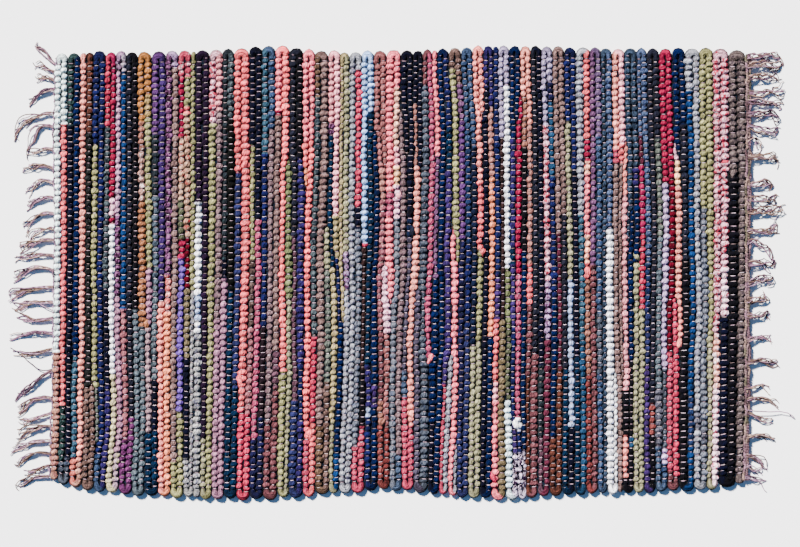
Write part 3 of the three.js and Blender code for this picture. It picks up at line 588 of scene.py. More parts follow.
def turnRound(tracks, i, j, side):
    # A rag that turns round at a long edge, from row i into row j.
    start = lastWarp(i, side)
    (xa, wa), (xb, wb) = rowAt(i, start), rowAt(j, start)
    centre, radius, wide = (xa + xb) / 2, (xb - xa) / 2, (wa + wb) / 4
    base = edgeAt(side, centre) + side * (rng.uniform(*turning["past"]) - turning["depth"])
    angles = np.linspace(math.pi, 0, turning["rings"])
    out = (turning["depth"] - wide) * np.sin(angles)
    x = np.array([xa, *(centre + radius * np.cos(angles)), xb])
    y = base + side * np.array([-turning["tucked"], *out, -turning["tucked"]])
    count = len(x)
    direction = np.gradient(np.column_stack([x, y]), axis=0)
    direction /= np.linalg.norm(direction, axis=1)[:, None]
    sideways = np.column_stack([direction[:, 1], -direction[:, 0], np.zeros(count)])
    narrow, low = turning["tuckedSize"]
    bulge = np.array([narrow, *(turning["plump"] + turning["plumper"] * np.sin(angles)), narrow])
    height = np.array([low, *np.ones(turning["rings"]), low])
    change = rng.choice([3, count - 3])  # where one rag ends and the next begins
    names = [ragAt(rows[i], start)[1]] * change + [ragAt(rows[j], start)[1]] * (count - change)
    level = turning["level"] + rng.uniform(*turning["rise"])
    layRag(tracks, np.column_stack([x, y, np.full(count, level)]), sideways, wide * bulge,
           turning["high"] * height, names, i * weave["seeds"] + 0.19, rng.uniform(-0.4, 0.8),
           turning["limp"], turning["printed"])


def foldUnder(tracks, i, side):
    # A rag that has no partner at the edge: its end is folded under there.
    start = lastWarp(i, side)
    x, width = rowAt(i, start)
    y = edgeAt(side, x) + side * (rng.uniform(*folded["past"]) - folded["from"])
    path = np.column_stack([np.full(len(y), x), y, np.full(len(y), turning["level"])])
    layRag(tracks, path, (side, 0, 0), folded["halfWidth"] * width * folded["shape"],
           turning["high"] * np.sqrt(folded["shape"]), [ragAt(rows[i], start)[1]] * len(y),
           i * weave["seeds"], rng.uniform(-0.5, 0.5), turning["limp"])


def sharedTurns(there):
    # Which neighbours share a rag that turns round between them: those whose colours are nearest.
    cost, before = [0.0], [None]
    for k in range(len(there)):
        best, how = cost[k] + turning["alone"], 1
        if k > 0:
            a, b = (colours[there[m][1]][0] ** 0.35 for m in (k - 1, k))
            together = cost[k - 1] + float(np.linalg.norm(a - b))
            if together < best:
                best, how = together, 2
        cost.append(best)
        before.append(how)
    groups = []
    k = len(there)
    while k > 0:
        groups.append([i for i, _ in there[k - before[k]:k]])
        k -= before[k]
    return groups[::-1]


def turnEdges(bands, side):
    # At a long edge each rag turns round into the next row, or ends there.
    there = []
    for i, row in enumerate(rows):
        y = lastWarp(i, side)
        name = ragAt(row, y)[1]
        if name and rowAt(i, y)[1] > weave["least"]:
            there.append((i, name))
    for group in sharedTurns(there):
        make = turnRound if len(group) == 2 else foldUnder
        make(bands[bandOf(group[0])], *group, side)


# Places where a rag's end or a join stands out of its row: along@across in centimetres, and its colour.
ragEnds = """
56.8@26.9 coral, 45.6@19.4 palePink, 47.2@21.5 black, 49.8@41.1 coralPink, 25.1@15.2 coral,
43.4@49.6 tan, 47.3@48.6 peach, 61.2@49.9 white, 58.2@57 coralRed, 47.4@24.2 charcoal,
12@36.6 rust, 90.2@16.5 greyPlum, 24.4@44 coral, 77.3@27.6 khakiSage, 33.6@51.2 salmon,
83@39.2 coralPeach, 70.8@29.6 coral
"""
standing = {
    "rings": 7,
    "slant": 0.5,  # how far it may turn from the row, in radians
    "length": (6 * mm, 9 * mm),  # half its length
    "level": 4.6 * mm, "arch": 2.6 * mm,  # height of its tips, and of its middle over them
    "tip": (2.2 * mm, 1.2 * mm),  # half its width and height at the tips
    "wider": (1 * mm, 2 * mm), "higher": 0.9 * mm,  # how much more in the middle
    "limp": 2.2,
    "seeds": 90,  # makes the folds differ from place to place
}


def standingEnds(bands):
    # A short crumpled end of rag for each of those places.
    for entry in ragEnds.split(","):
        place, name = entry.split()
        along, across = (float(value) * cm for value in place.split("@"))
        x, y = chartZero[0] + along, chartZero[1] - across
        row = int(np.argmin([abs(rowAt(i, y)[0] - x) for i in range(len(rows))]))
        t = np.linspace(-1, 1, standing["rings"])
        arch = 1 - t ** 2
        angle = rng.uniform(-standing["slant"], standing["slant"])
        length = rng.uniform(*standing["length"])
        path = np.column_stack([
            x + length * t * math.sin(angle),
            y - length * t * math.cos(angle),
            standing["level"] + standing["arch"] * arch,
        ])
        halfWide, halfHigh = standing["tip"]
        layRag(bands[bandOf(row)], path, (math.cos(angle), math.sin(angle), 0),
               halfWide + rng.uniform(*standing["wider"]) * arch, halfHigh + standing["higher"] * arch,
               [name] * len(t), across * standing["seeds"], rng.uniform(0, 0.8), standing["limp"])


class Bench:
    # Puts nodes on a tree and joins them up.
    def __init__(self, tree):
        self.tree = tree

    def node(self, kind, values=(), **settings):
        node = self.tree.nodes.new(kind)
        for name, value in settings.items():
            setattr(node, name, value)
        for key, value in dict(values).items():
            self.join(value, node.inputs[key])
        return node

    def join(self, value, socket):
        if isinstance(value, bpy.types.Node):
            value = next(out for out in value.outputs if out.enabled)
        if isinstance(value, bpy.types.NodeSocket):
            self.tree.links.new(value, socket)
        else:
            socket.default_value = value

    def math(self, operation, a, b=0.0, c=None):
        values = {0: a, 1: b} if c is None else {0: a, 1: b, 2: c}
        return self.node("ShaderNodeMath", values, operation=operation)

    def vector(self, operation, a, b=None, scale=None):
        node = self.node("ShaderNodeVectorMath", {0: a}, operation=operation)
        if b is not None:
            self.join(b, node.inputs[1])
        if scale is not None:
            self.join(scale, node.inputs["Scale"])
        return node

    def parts(self, vector):
        return self.node("ShaderNodeSeparateXYZ", {0: vector}).outputs

    def whole(self, x=0.0, y=0.0, z=0.0):
        return self.node("ShaderNodeCombineXYZ", {0: x, 1: y, 2: z})


class TrackTree(Bench):
    # A node tree that grows something on tracks, with named inputs that each start at the value given.
    def __init__(self, name, sizes):
        tree = bpy.data.node_groups.new(name, "GeometryNodeTree")
        super().__init__(tree)
        tree.interface.new_socket("Geometry", in_out="INPUT", socket_type="NodeSocketGeometry")
        for label, value in sizes.items():
            if isinstance(value, bpy.types.Material):
                tree.interface.new_socket(label, in_out="INPUT", socket_type="NodeSocketMaterial")
                continue
            kind = "NodeSocketInt" if isinstance(value, int) else "NodeSocketFloat"
            tree.interface.new_socket(label, in_out="INPUT", socket_type=kind).default_value = value
        tree.interface.new_socket("Geometry", in_out="OUTPUT", socket_type="NodeSocketGeometry")
        self.inputs = self.node("NodeGroupInput").outputs
        self.track = self.node("GeometryNodeMeshToCurve", {"Mesh": self.inputs["Geometry"]})

    def named(self, name, kind="FLOAT"):
        return self.node("GeometryNodeInputNamedAttribute", {"Name": name}, data_type=kind)

    def stored(self, geometry, name, value):
        values = {"Geometry": geometry, "Name": name, "Value": value}
        kind = {"data_type": "FLOAT_VECTOR", "domain": "POINT"}
        return self.node("GeometryNodeStoreNamedAttribute", values, **kind)

    def noise(self, vector, w, size):
        scale = self.math("DIVIDE", 1.0, self.inputs[size])
        values = {"Vector": vector, "W": w, "Scale": scale, "Detail": 1.0}
        return self.node("ShaderNodeTexNoise", values, noise_dimensions="4D")

    def noLower(self, place, height):
        x, y, z = self.parts(place)
        return self.whole(x, y, self.math("MAXIMUM", z, height))

    def ring(self, radius=None):
        radius = radius or self.inputs["Yarn radius"]
        values = {"Resolution": self.inputs["Sides"], "Radius": radius}
        return self.node("GeometryNodeCurvePrimitiveCircle", values)

    def tube(self, curve, ring, **more):
        values = {"Curve": curve, "Profile Curve": ring, "Fill Caps": True, **more}
        return self.node("GeometryNodeCurveToMesh", values)

    def finish(self, geometry):
        # Every tree ends smooth, as real mesh and in its material.
        smooth = self.node("GeometryNodeSetShadeSmooth", {"Geometry": geometry})
        real = self.node("GeometryNodeRealizeInstances", {"Geometry": smooth})
        values = {"Geometry": real, "Material": self.inputs["Material"]}
        dressed = self.node("GeometryNodeSetMaterial", values)
        self.node("NodeGroupOutput", {"Geometry": dressed})
        return self.tree


def ragTree(material):
    # Rings of rag along each track: an oval about the spine, as wide and high as the track says, crumpled.
    b = TrackTree("rag from track", {
        "Sides": 8, "Fold size": 3.4 * mm, "Fold depth": 0.74 * mm, "Twist": 16 * mm,
        "Rag radius": 4 * mm, "Least height": 0.1 * mm, "Material": material,
    })
    ring = b.stored(b.ring(1.0), "ringPlace", b.node("GeometryNodeInputPosition"))
    tube = b.tube(b.track, ring)
    x, y, _ = b.parts(b.named("ringPlace", "FLOAT_VECTOR"))
    sideways = b.named("sideways", "FLOAT_VECTOR")
    outward = b.vector("ADD", b.vector("SCALE", sideways, scale=x), b.whole(z=y))
    wide = b.math("MULTIPLY", x, b.named("halfWide"))
    high = b.math("MULTIPLY", y, b.named("halfHigh"))
    oval = b.vector("ADD", b.vector("SCALE", sideways, scale=wide), b.whole(z=high))
    spine = b.named("spine", "FLOAT_VECTOR")
    smooth = b.vector("ADD", spine, oval)
    folds = b.noise(smooth, b.named("seed"), "Fold size")
    depth = b.math("MULTIPLY", b.inputs["Fold depth"], b.named("limp"))
    crumple = b.math("MULTIPLY", b.math("SUBTRACT", folds, 0.5), b.math("MULTIPLY", depth, 3.0))
    moved = b.vector("ADD", smooth, b.vector("SCALE", outward, scale=crumple))
    place = b.noLower(moved, b.inputs["Least height"])
    shaped = b.node("GeometryNodeSetPosition", {"Geometry": tube, "Position": place})
    # A place in the rag itself, for the folds of its material: they run along it and twist slowly
    along = b.parts(spine)[1]
    twist = b.math("ADD", b.math("DIVIDE", along, b.inputs["Twist"]), b.named("seed"))
    turned = b.node("ShaderNodeVectorRotate", {
        "Vector": b.named("ringPlace", "FLOAT_VECTOR"), "Angle": twist,
    }, rotation_type="Z_AXIS")
    x, y, _ = b.parts(b.vector("SCALE", turned, scale=b.inputs["Rag radius"]))
    return b.finish(b.stored(shaped, "ragPlace", b.whole(x, along, y)))


def warpTree(material):
    # A round yarn along each track.
    b = TrackTree("warp from track", {"Sides": 3, "Yarn radius": 0.62 * mm, "Material": material})
    return b.finish(b.tube(b.track, b.ring()))


def fringeTree(material):
    # A curly yarn along each track: held at its root, and freer towards its tip.
    b = TrackTree("fringe from track", {
        "Points": 22, "Sides": 4, "Yarn radius": 0.82 * mm, "Curl": 3.4 * mm, "Curl size": 14 * mm,
        "Crimp": 0.9 * mm, "Crimp size": 5 * mm, "Tip thinness": 0.4, "Seed": 3, "Material": material,
    })
    even = b.node("GeometryNodeResampleCurve", {"Curve": b.track, "Count": b.inputs["Points"]})
    along = b.node("GeometryNodeSplineParameter").outputs["Factor"]
    position = b.node("GeometryNodeInputPosition")
    free = b.math("MULTIPLY", b.math("POWER", along, 0.8), b.named("lively"))
    moves = []
    for size, depth, who in (("Curl size", "Curl", "tuft"), ("Crimp size", "Crimp", "yarn")):
        noise = b.noise(position, b.math("ADD", b.named(who), b.inputs["Seed"]), size)
        centred = b.vector("SUBTRACT", noise.outputs["Color"], (0.5, 0.5, 0.5))
        reach = b.math("MULTIPLY", b.math("MULTIPLY", b.inputs[depth], 3.0), free)
        moves.append(b.vector("SCALE", centred, scale=reach))
    flatter = b.vector("MULTIPLY", b.vector("ADD", *moves), (1.0, 1.0, 0.5))
    lowest = b.math("ADD", b.inputs["Yarn radius"], 0.05 * mm)
    place = b.noLower(b.vector("ADD", position, flatter), lowest)
    bent = b.node("GeometryNodeSetPosition", {"Geometry": even, "Position": place})
    tip = b.math("MULTIPLY", b.math("POWER", along, 3.0), b.inputs["Tip thinness"])
    return b.finish(b.tube(bent, b.ring(), Scale=b.math("SUBTRACT", 1.0, tip)))


def cordTree(material):
    # Two yarns twined round each other along each track.
    b = TrackTree("twined cord from track", {
        "Step": 1.5 * mm, "Twist": 7.5 * mm, "Sides": 5, "Yarn radius": 0.8 * mm, "Material": material,
    })
    spacing = {"Curve": b.track, "Length": b.inputs["Step"]}
    even = b.node("GeometryNodeResampleCurve", spacing, mode="LENGTH")
    length = b.node("GeometryNodeSplineParameter").outputs["Length"]
    turn = b.math("MULTIPLY", b.math("DIVIDE", length, b.inputs["Twist"]), math.tau)
    join = b.node("GeometryNodeJoinGeometry")
    radius = b.inputs["Yarn radius"]
    for start in (0.0, math.pi):
        angle = b.math("ADD", turn, start)
        x, z = (b.math("MULTIPLY", b.math(wave, angle), radius) for wave in ("COSINE", "SINE"))
        yarn = b.node("GeometryNodeSetPosition", {"Geometry": even, "Offset": b.whole(x, z=z)})
        b.join(yarn, join.inputs[0])
    return b.finish(b.tube(join, b.ring()))


def grown(tracks, name, tree, values):
    # The tree's result on some tracks, as a plain mesh object.
    piece = tracks.made(name)
    modifier = piece.modifiers.new(tree.name, "NODES")
    modifier.node_group = tree
    for item in tree.interface.items_tree:
        if item.in_out == "INPUT" and item.name in values:
            modifier[item.identifier] = values[item.name]
    state = bpy.context.evaluated_depsgraph_get()
    mesh = bpy.data.meshes.new_from_object(piece.evaluated_get(state))
    piece.modifiers.remove(modifier)
    piece.data = mesh
    mesh.name = name
    outwardFaces(piece)
    return piece


def outwardFaces(piece):
    # Rows, turns and yarns all turn the same way round, so the volume of the whole tells if they are
    # inside out. The short standing ends turn the other way, and their faces still point inwards.
    mesh = piece.data
    mesh.calc_loop_triangles()
    corners = np.empty(len(mesh.loop_triangles) * 3, dtype=np.int32)
    mesh.loop_triangles.foreach_get("vertices", corners)
    places = np.empty(len(mesh.vertices) * 3)
    mesh.vertices.foreach_get("co", places)
    a, b, c = places.reshape(-1, 3)[corners.reshape(-1, 3)].transpose(1, 0, 2)
    volume = np.einsum("ij,ij->i", a, np.cross(b, c)).sum() / 6
    if volume < 0:
        mesh.flip_normals()
    area = np.linalg.norm(np.cross(b - a, c - a), axis=1).sum() / 2
    print(piece.name, len(mesh.loop_triangles), "triangles, surface", round(area, 4), "volume", volume)


ragSurface = {
    "knit": 0.9 * mm,  # size of the cloth's own texture
    "fold": 3.6 * mm, "foldEdge": 0.16,  # width of the folds along a rag, and how soft their edges are
    "stretch": 0.3,  # the pattern's scale along the rag, which makes the folds longer
    "lump": 3 * mm,
    "print": 4.6 * mm, "heather": 1.1 * mm,  # sizes of the flecks in a printed and a heathered rag
    "fleckMix": (0.62, 0.38),  # shares of the two in the pattern
    "fleckLimit": 0.66, "fleckMore": 0.42, "fleckEdge": 0.07,  # where the flecks begin, and their edges
    "lumpShade": (0.66, 1.2),  # brightness with painted shade in the hollows of lumps and painted highlight on them
    "creaseShade": (0.35, 1.1),  # painted shade in a crease, and the brightness beside it
    "fuzz": (0.86, 1.1),  # between the stitches and on them
    "beads": 0.22,  # how much beads differ
    "paintedShade": (0.07, 1.0),  # painted shade in the depth of the cloth, and none on its top
    "paintedShadeFrom": (0.2 * mm, 3.2 * mm),  # distances from the middle of the cloth for these two
    "foldDepth": 1.5 * mm, "foldBump": 0.55, "knitBump": 0.12,
    "finish": {"Roughness": 0.92, "Sheen Weight": 0.01, "Sheen Roughness": 0.5, "Specular IOR Level": 0.05},
}


class Surface(Bench):
    # A material with its shader ready, to be built on.
    def __init__(self, name, finish):
        self.material = bpy.data.materials.new(name)
        self.material.use_nodes = True
        super().__init__(self.material.node_tree)
        self.shader = self.tree.nodes["Principled BSDF"]
        for label, value in finish.items():
            self.shader.inputs[label].default_value = value

    def attribute(self, name, output="Fac"):
        return self.node("ShaderNodeAttribute", attribute_name=name).outputs[output]

    def noise(self, vector, size, detail=2.0, distortion=0.0, w=None):
        node = self.node("ShaderNodeTexNoise", {
            "Vector": vector, "Scale": 1 / size, "Detail": detail, "Distortion": distortion,
        }, noise_dimensions="3D" if w is None else "4D")
        if w is not None:
            self.join(w, node.inputs["W"])
        return node.outputs["Fac"]

    def spread(self, value, low, high, toLow=0.0, toHigh=1.0):
        return self.node("ShaderNodeMapRange", {0: value, 1: low, 2: high, 3: toLow, 4: toHigh}).outputs[0]

    def blend(self, share, a, b, how="MIX"):
        node = self.node("ShaderNodeMix", data_type="RGBA", blend_type=how)
        self.join(share, node.inputs[0])
        self.join(a, node.inputs[6])
        self.join(b, node.inputs[7])
        return node.outputs[2]

    def fromMiddle(self, here):
        # Distance from the middle of the cloth's thickness.
        return self.math("ABSOLUTE", self.math("SUBTRACT", self.parts(here)[2], weave["crest"] / 2))

    def coloured(self, tint, value):
        # The tint, brighter or darker by a value.
        grey = self.node("ShaderNodeCombineColor", {0: value, 1: value, 2: value})
        self.join(self.blend(1.0, tint, grey, "MULTIPLY"), self.shader.inputs["Base Color"])

    def raised(self, height, distance, strength):
        bump = self.node("ShaderNodeBump", {"Height": height, "Distance": distance, "Strength": strength})
        self.join(bump, self.shader.inputs["Normal"])


def ragMaterial():
    # Cut cotton and jersey, coloured by the rag that a point belongs to.
    v = ragSurface
    s = Surface("cut rags", v["finish"])
    here = s.node("ShaderNodeTexCoord").outputs["Object"]
    seed = s.attribute("seed")
    inRag = s.attribute("ragPlace", "Vector")
    stretched = s.node("ShaderNodeMapping", {"Vector": inRag, "Scale": (1.0, v["stretch"], 1.0)})
    folds = s.noise(stretched, v["fold"], 1.0, 0.5, seed)
    ridges = s.math("ABSOLUTE", s.math("SUBTRACT", folds, 0.5))
    ridges = s.math("POWER", s.spread(ridges, 0.0, v["foldEdge"]), 0.6)
    lumps = s.noise(here, v["lump"], 2.0, 0.8, seed)
    knit = s.noise(here, v["knit"], 1.0)
    # Flecks of the second colour: broad for a print, fine for a heather
    broad = s.noise(here, v["print"], 1.0, 0.6, seed)
    fine = s.noise(stretched, v["heather"], 1.0, 0.0, seed)
    broadShare, fineShare = v["fleckMix"]
    mixed = s.math("ADD", s.math("MULTIPLY", broad, broadShare), s.math("MULTIPLY", fine, fineShare))
    more = s.math("MULTIPLY", s.attribute("fleckShare"), v["fleckMore"])
    limit = s.math("SUBTRACT", v["fleckLimit"], more)
    fleck = s.spread(s.math("SUBTRACT", mixed, limit), 0.0, v["fleckEdge"])
    tint = s.blend(fleck, s.attribute("tint", "Color"), s.attribute("fleck", "Color"))
    # Painted shade and highlight: folds are darker in their creases, lumps darker in their hollows and
    # lighter on top; beads differ at random; and the cloth is painted darker towards the middle of its
    # thickness, where shade falls in the gaps between beads and rows
    lumpShade = s.spread(lumps, 0.32, 0.68, *v["lumpShade"])
    creaseShade = s.spread(ridges, 0.0, 0.8, *v["creaseShade"])
    differ = s.math("MULTIPLY_ADD", s.attribute("shade"), v["beads"], 1.0)
    # Painted shade: darker towards the middle of the cloth's thickness, in the grooves between beads and
    # rows
    paintedShade = s.spread(s.fromMiddle(here), *v["paintedShadeFrom"], *v["paintedShade"])
    value = s.math("MULTIPLY", s.math("MULTIPLY", lumpShade, creaseShade), s.math("MULTIPLY", differ, paintedShade))
    s.coloured(tint, s.math("MULTIPLY", value, s.spread(knit, 0.3, 0.7, *v["fuzz"])))
    rise = s.math("MULTIPLY_ADD", ridges, v["foldBump"], lumps)
    s.raised(s.math("ADD", rise, s.math("MULTIPLY", knit, v["knitBump"])), v["foldDepth"], 1.0)
    return s.material


yarnSurface = {
    "fibre": 0.7 * mm, "ply": 1.6 * mm, "mottle": 4.5 * mm,  # sizes
    "fibreTone": (0.86, 1.1), "plyTone": (0.84, 1.05), "mottleTone": (0.6, 1.35),  # and brightness
    "paintedShadeTone": (0.03, 1.0), "paintedShadeFrom": (1.0 * mm, 1.6 * mm),  # painted shade of a warp yarn deep inside the cloth, and the distances from the cloth's middle over which it fades
    "plyDepth": 0.25 * mm,
    "finish": {"Roughness": 0.85, "Sheen Weight": 0.04, "Specular IOR Level": 0.15},
}


def yarnMaterial(name, shadedInCloth=False):
    # Fine cotton yarn: its tint differs from yarn to yarn, and its plies show as slanting lines.
    v = yarnSurface
    s = Surface(name, v["finish"])
    here = s.node("ShaderNodeTexCoord").outputs["Object"]
    fibre = s.noise(here, v["fibre"], 2.0)
    plies = s.node("ShaderNodeTexWave", {
        "Vector": here, "Scale": 0.16 / v["ply"], "Distortion": 1.5,
    }, bands_direction="DIAGONAL")
    twisted = s.spread(plies, 0.0, 1.0, *v["plyTone"])
    value = s.math("MULTIPLY", s.spread(fibre, 0.3, 0.7, *v["fibreTone"]), twisted)
    worn = s.noise(here, v["mottle"], 1.0)
    value = s.math("MULTIPLY", value, s.spread(worn, 0.35, 0.65, *v["mottleTone"]))
    # Painted shade: a warp yarn is darker where it runs deep in the cloth, between and under the rags
    if shadedInCloth:
        value = s.math("MULTIPLY", value, s.spread(s.fromMiddle(here), *v["paintedShadeFrom"], *v["paintedShadeTone"]))
    s.coloured(s.attribute("tint", "Color"), value)
    s.raised(plies, v["plyDepth"], 0.8)
    return s.material


def clothBands():
    # The rags, in a few pieces along the rug so that each stays light.
    bands = [Tracks() for _ in range(weave["bands"])]
    for i in range(len(rows)):
        wovenRow(i, bands[bandOf(i)])
    turnEdges(bands, 1)
    turnEdges(bands, -1)
    standingEnds(bands)
    material = ragMaterial()
    tree = ragTree(material)
    names = [f"rag_rows_{number + 1}" for number in range(weave["bands"])]
    return [grown(tracks, name, tree, {"Material": material}) for tracks, name in zip(bands, names)]


warp = {
    "radius": 0.66 * mm,
    "over": 0.6 * mm, "under": 0.5 * mm,  # how far its middle lies over a rag, and about as far under one
    "give": 1.3, "settles": (-0.2 * mm, 0.4 * mm),  # how far it sinks into a soft rag, and by chance
    "boundary": 3.8 * mm,  # its height between two rows
    "past": 1 * mm, "endHeight": 3 * mm,  # how far it goes past the cloth's ends, and how high there
    "tints": ["d8c4c8", "c8b2b6", "bcaca8", "e0d0d0", "b09a9e", "c6b6b2", "a6948e"],
}


def pickTint(codes, count):
    # One of some colours, drawn at random, for a number of points.
    return np.tile([*dyed(codes[rng.integers(len(codes))]), 1], (count, 1))


def warpYarns():
    # Each warp yarn runs from end to end, over one row and under the next.
    halves = [Tracks(), Tracks()]
    left, right = endAt("left", grid), endAt("right", grid)
    over = weave["valley"] + warp["over"]
    under = weave["crest"] - weave["valley"] - warp["under"]
    for number in range(weave["warps"]):
        start = warpLine(number, 0.0)
        points = [(np.interp(start, grid, left) - warp["past"], warp["endHeight"])]
        for i, row in enumerate(rows):
            y = warpLine(number, rowAt(i, start)[0])
            x, width = rowAt(i, y)
            if width < weave["least"]:
                continue
            body = row["body"].get(ragAt(row, y)[1], 0)
            give = warp["give"] * weave["sink"] * body + rng.uniform(*warp["settles"])
            points.append((x, over - give if (number - i) % 2 == 0 else under + give))
            points.append((x + width / 2, warp["boundary"]))
        points.append((np.interp(start, grid, right) + warp["past"], warp["endHeight"]))
        x, z = np.array(points).T
        path = np.column_stack([x, warpLine(number, x), z])
        halves[number * 2 // weave["warps"]].add(path, tint=pickTint(warp["tints"], len(x)))
    material = yarnMaterial("warp yarn", shadedInCloth=True)
    tree = warpTree(material)
    values = {"Material": material, "Yarn radius": warp["radius"]}
    return [grown(tracks, name, tree, values) for name, tracks in zip(("warp_near", "warp_far"), halves)]


heading = {
    "inset": 0.6 * mm,  # of the first cord from the cloth's end
    "pitch": 2.1 * mm,
    "sway": 0.5 * mm, "pulls": [31, 97, 263, 411, 607],  # how the tufts pull it about
    "inside": 4 * mm,  # where the long edges are read, in from the end
    "within": 3 * mm,  # how far the cords stop short of the long edges
    "points": 180, "tintLength": 4,  # points of a cord, and how many share a tint
    "lower": 0.7 * mm,  # how much lower each farther cord lies
    "waves": 0.5 * mm,  # how far it rises and falls
    "left": {"cords": 1, "height": 3.6 * mm, "radius": 0.8 * mm, "tints": ["9c8494", "86707c"]},
    "right": {"cords": 3, "height": 6.2 * mm, "radius": 1.1 * mm,
              "tints": ["8a7672", "7c6468", "948074", "5e4a4c", "92787e", "6c6654"]},
}

# The tufts, in millimetres: place on the edge, reach from it, how far the tips hang towards the
# near edge, how far the middle bows the other way, and the number of strands, 0 for a lone yarn.
leftTufts = [
    (279, 27, -24, 4, 4), (268, 29, -14, 3, 3), (257, 24, -6, 2, 3), (245, 33, 21, 4, 5),
    (213, 52, 29, 6, 4), (195, 35, 30, 9, 5), (165, 37, 8, 3, 4), (140, 40, 2, 4, 4),
    (120, 35, 12, 8, 4), (100, 36, 14, 5, 5), (79, 40, 18, 6, 6), (59, 34, 14, 5, 3),
    (44, 45, 12, 3, 6), (23, 52, 5, 3, 4), (3, 54, 9, 8, 6), (-19, 60, 12, 2, 6),
    (-39, 54, 8, 2, 5), (-60, 50, -4, -4, 4), (-80, 58, 8, 3, 4), (-101, 50, 4, -5, 4),
    (-131, 47, 31, 0, 6), (-167, 44, 16, 5, 6), (-187, 44, 15, -2, 4), (-204, 44, 17, 3, 5),
    (-224, 52, 14, 3, 5), (-240, 46, 14, 3, 4), (-257, 36, 16, 0, 4), (-271, 46, 16, 2, 4),
    (-52, 46, 30, 22, 0), (-128, 56, -34, -8, 0),
]
rightTufts = [
    (288, 47, 6, 5, 4), (276, 48, 5, 5, 5), (259, 40, -1, 3, 4), (241, 48, -9, -6, 4),
    (228, 45, 8, 2, 4), (211, 44, 7, 4, 5), (195, 41, 7, -2, 4), (177, 18, 10, 2, 2),
    (153, 42, 2, 7, 5), (117, 33, 4, 5, 5), (99, 40, 3, 2, 3), (82, 48, 0, 3, 5),
    (56, 41, -12, -6, 4), (41, 36, 20, 4, 3), (11, 37, 7, 7, 4), (-16, 35, -3, 7, 4),
    (-36, 27, -8, -3, 4), (-59, 31, 4, 6, 4), (-91, 33, 2, 5, 4), (-120, 43, 6, 6, 5),
    (-153, 32, 3, 3, 3), (-169, 43, 6, 3, 4), (-185, 36, 17, -2, 4), (-219, 39, 6, 4, 4),
    (-244, 30, 21, 4, 4), (-259, 22, 14, 2, 3), (-272, 29, 17, 2, 3), (-181, 66, 12, -4, 0),
]
# How far the yarns of a tuft lie from its middle, how they curl and crimp, the share of them that
# turn back, and how much calmer (1 is no calmer) those are that lie nearer than a place on the edge.
looseYarn = {
    "left": {"bundle": 1.7 * mm, "curl": 2.8 * mm, "crimp": 0.9 * mm, "foldBack": 0.08,
             "calm": 1, "nearer": 0},
    "right": {"bundle": 3.4 * mm, "curl": 7 * mm, "crimp": 1.5 * mm, "foldBack": 0.5,
              "calm": 0.3, "nearer": -75},
}
fringe = {
    "yarns": 1.9,  # for each strand of the table
    "points": 11,
    "start": 1.5 * mm,  # how far outside the cloth's end they begin
    "length": 1.04, "shorter": 0.5,  # longest yarn of a tuft, and how much shorter one may be, as shares
    "flare": 3.2 * mm,  # how much farther apart the yarns of a tuft lie at their tips
    "turns": (0.4, 1.5),  # how often they wind about each other
    "drift": 2.4 * mm,  # how far a tip strays
    "moods": (0.8, 1.15),  # how strongly a whole tuft bends
    "sag": 1.3,
    "arch": 2.6 * mm,  # how high a yarn may rise over the floor on its way
    "rest": 0.8 * mm,  # height of its middle where it lies
    "seeds": 3.7,  # makes the curls differ from tuft to tuft
    "tints": ["8d727c", "786258", "9c8676", "6a525e", "9a7c88", "826e60", "ae988c", "5c4853", "a48c98"],
}


def fringeYarns(name, tufts, side, values):
    # The free ends of the warp, gathered in tufts: the yarns of one wind about each other.
    tracks = Tracks()
    column = "left" if side < 0 else "right"
    root = heading[column]["height"]
    for tuft, (place, reach, hang, bow, strands) in enumerate(tufts):
        y0 = place * mm + middleShift[1]
        x0 = endAt(column, y0) + side * fringe["start"]
        mood = rng.uniform(*fringe["moods"])
        lively = values["calm"] if place < values["nearer"] else 1
        bundle = values["bundle"] * math.sqrt(lively)
        for _ in range(max(1, round(strands * fringe["yarns"]))):
            length = fringe["length"] - fringe["shorter"] * rng.random() ** 2.5
            t = np.linspace(0, 1, fringe["points"]) * length
            done = t / length
            start, turns = rng.uniform(0, math.tau), rng.uniform(*fringe["turns"])
            away = (bundle + fringe["flare"] * t ** 2) * np.sin(start + math.tau * turns * t)
            drift = rng.normal(0, fringe["drift"]) * t ** 2
            bend = mood * (bow * np.sin(math.pi * t) - hang * t ** fringe["sag"]) * mm
            forward = np.sin(0.62 * math.pi * t) if rng.random() < values["foldBack"] * lively else t
            x = x0 + side * reach * mm * forward + 0.4 * away[::-1] * t
            y = y0 + away + bend + drift
            rise = rng.uniform(0, 1) * fringe["arch"] * np.sin(math.pi * done) ** 2
            z = root * (1 - done) ** 1.6 + rise + fringe["rest"]
            tracks.add(np.column_stack([x, y, z]), tint=pickTint(fringe["tints"], len(t)),
                       tuft=tuft * fringe["seeds"], yarn=rng.uniform(0, 50), lively=lively)
    material = bpy.data.materials.get("fringe yarn") or yarnMaterial("fringe yarn")
    sizes = {"Material": material, "Curl": values["curl"], "Crimp": values["crimp"]}
    return grown(tracks, name, fringeTree(material), sizes)


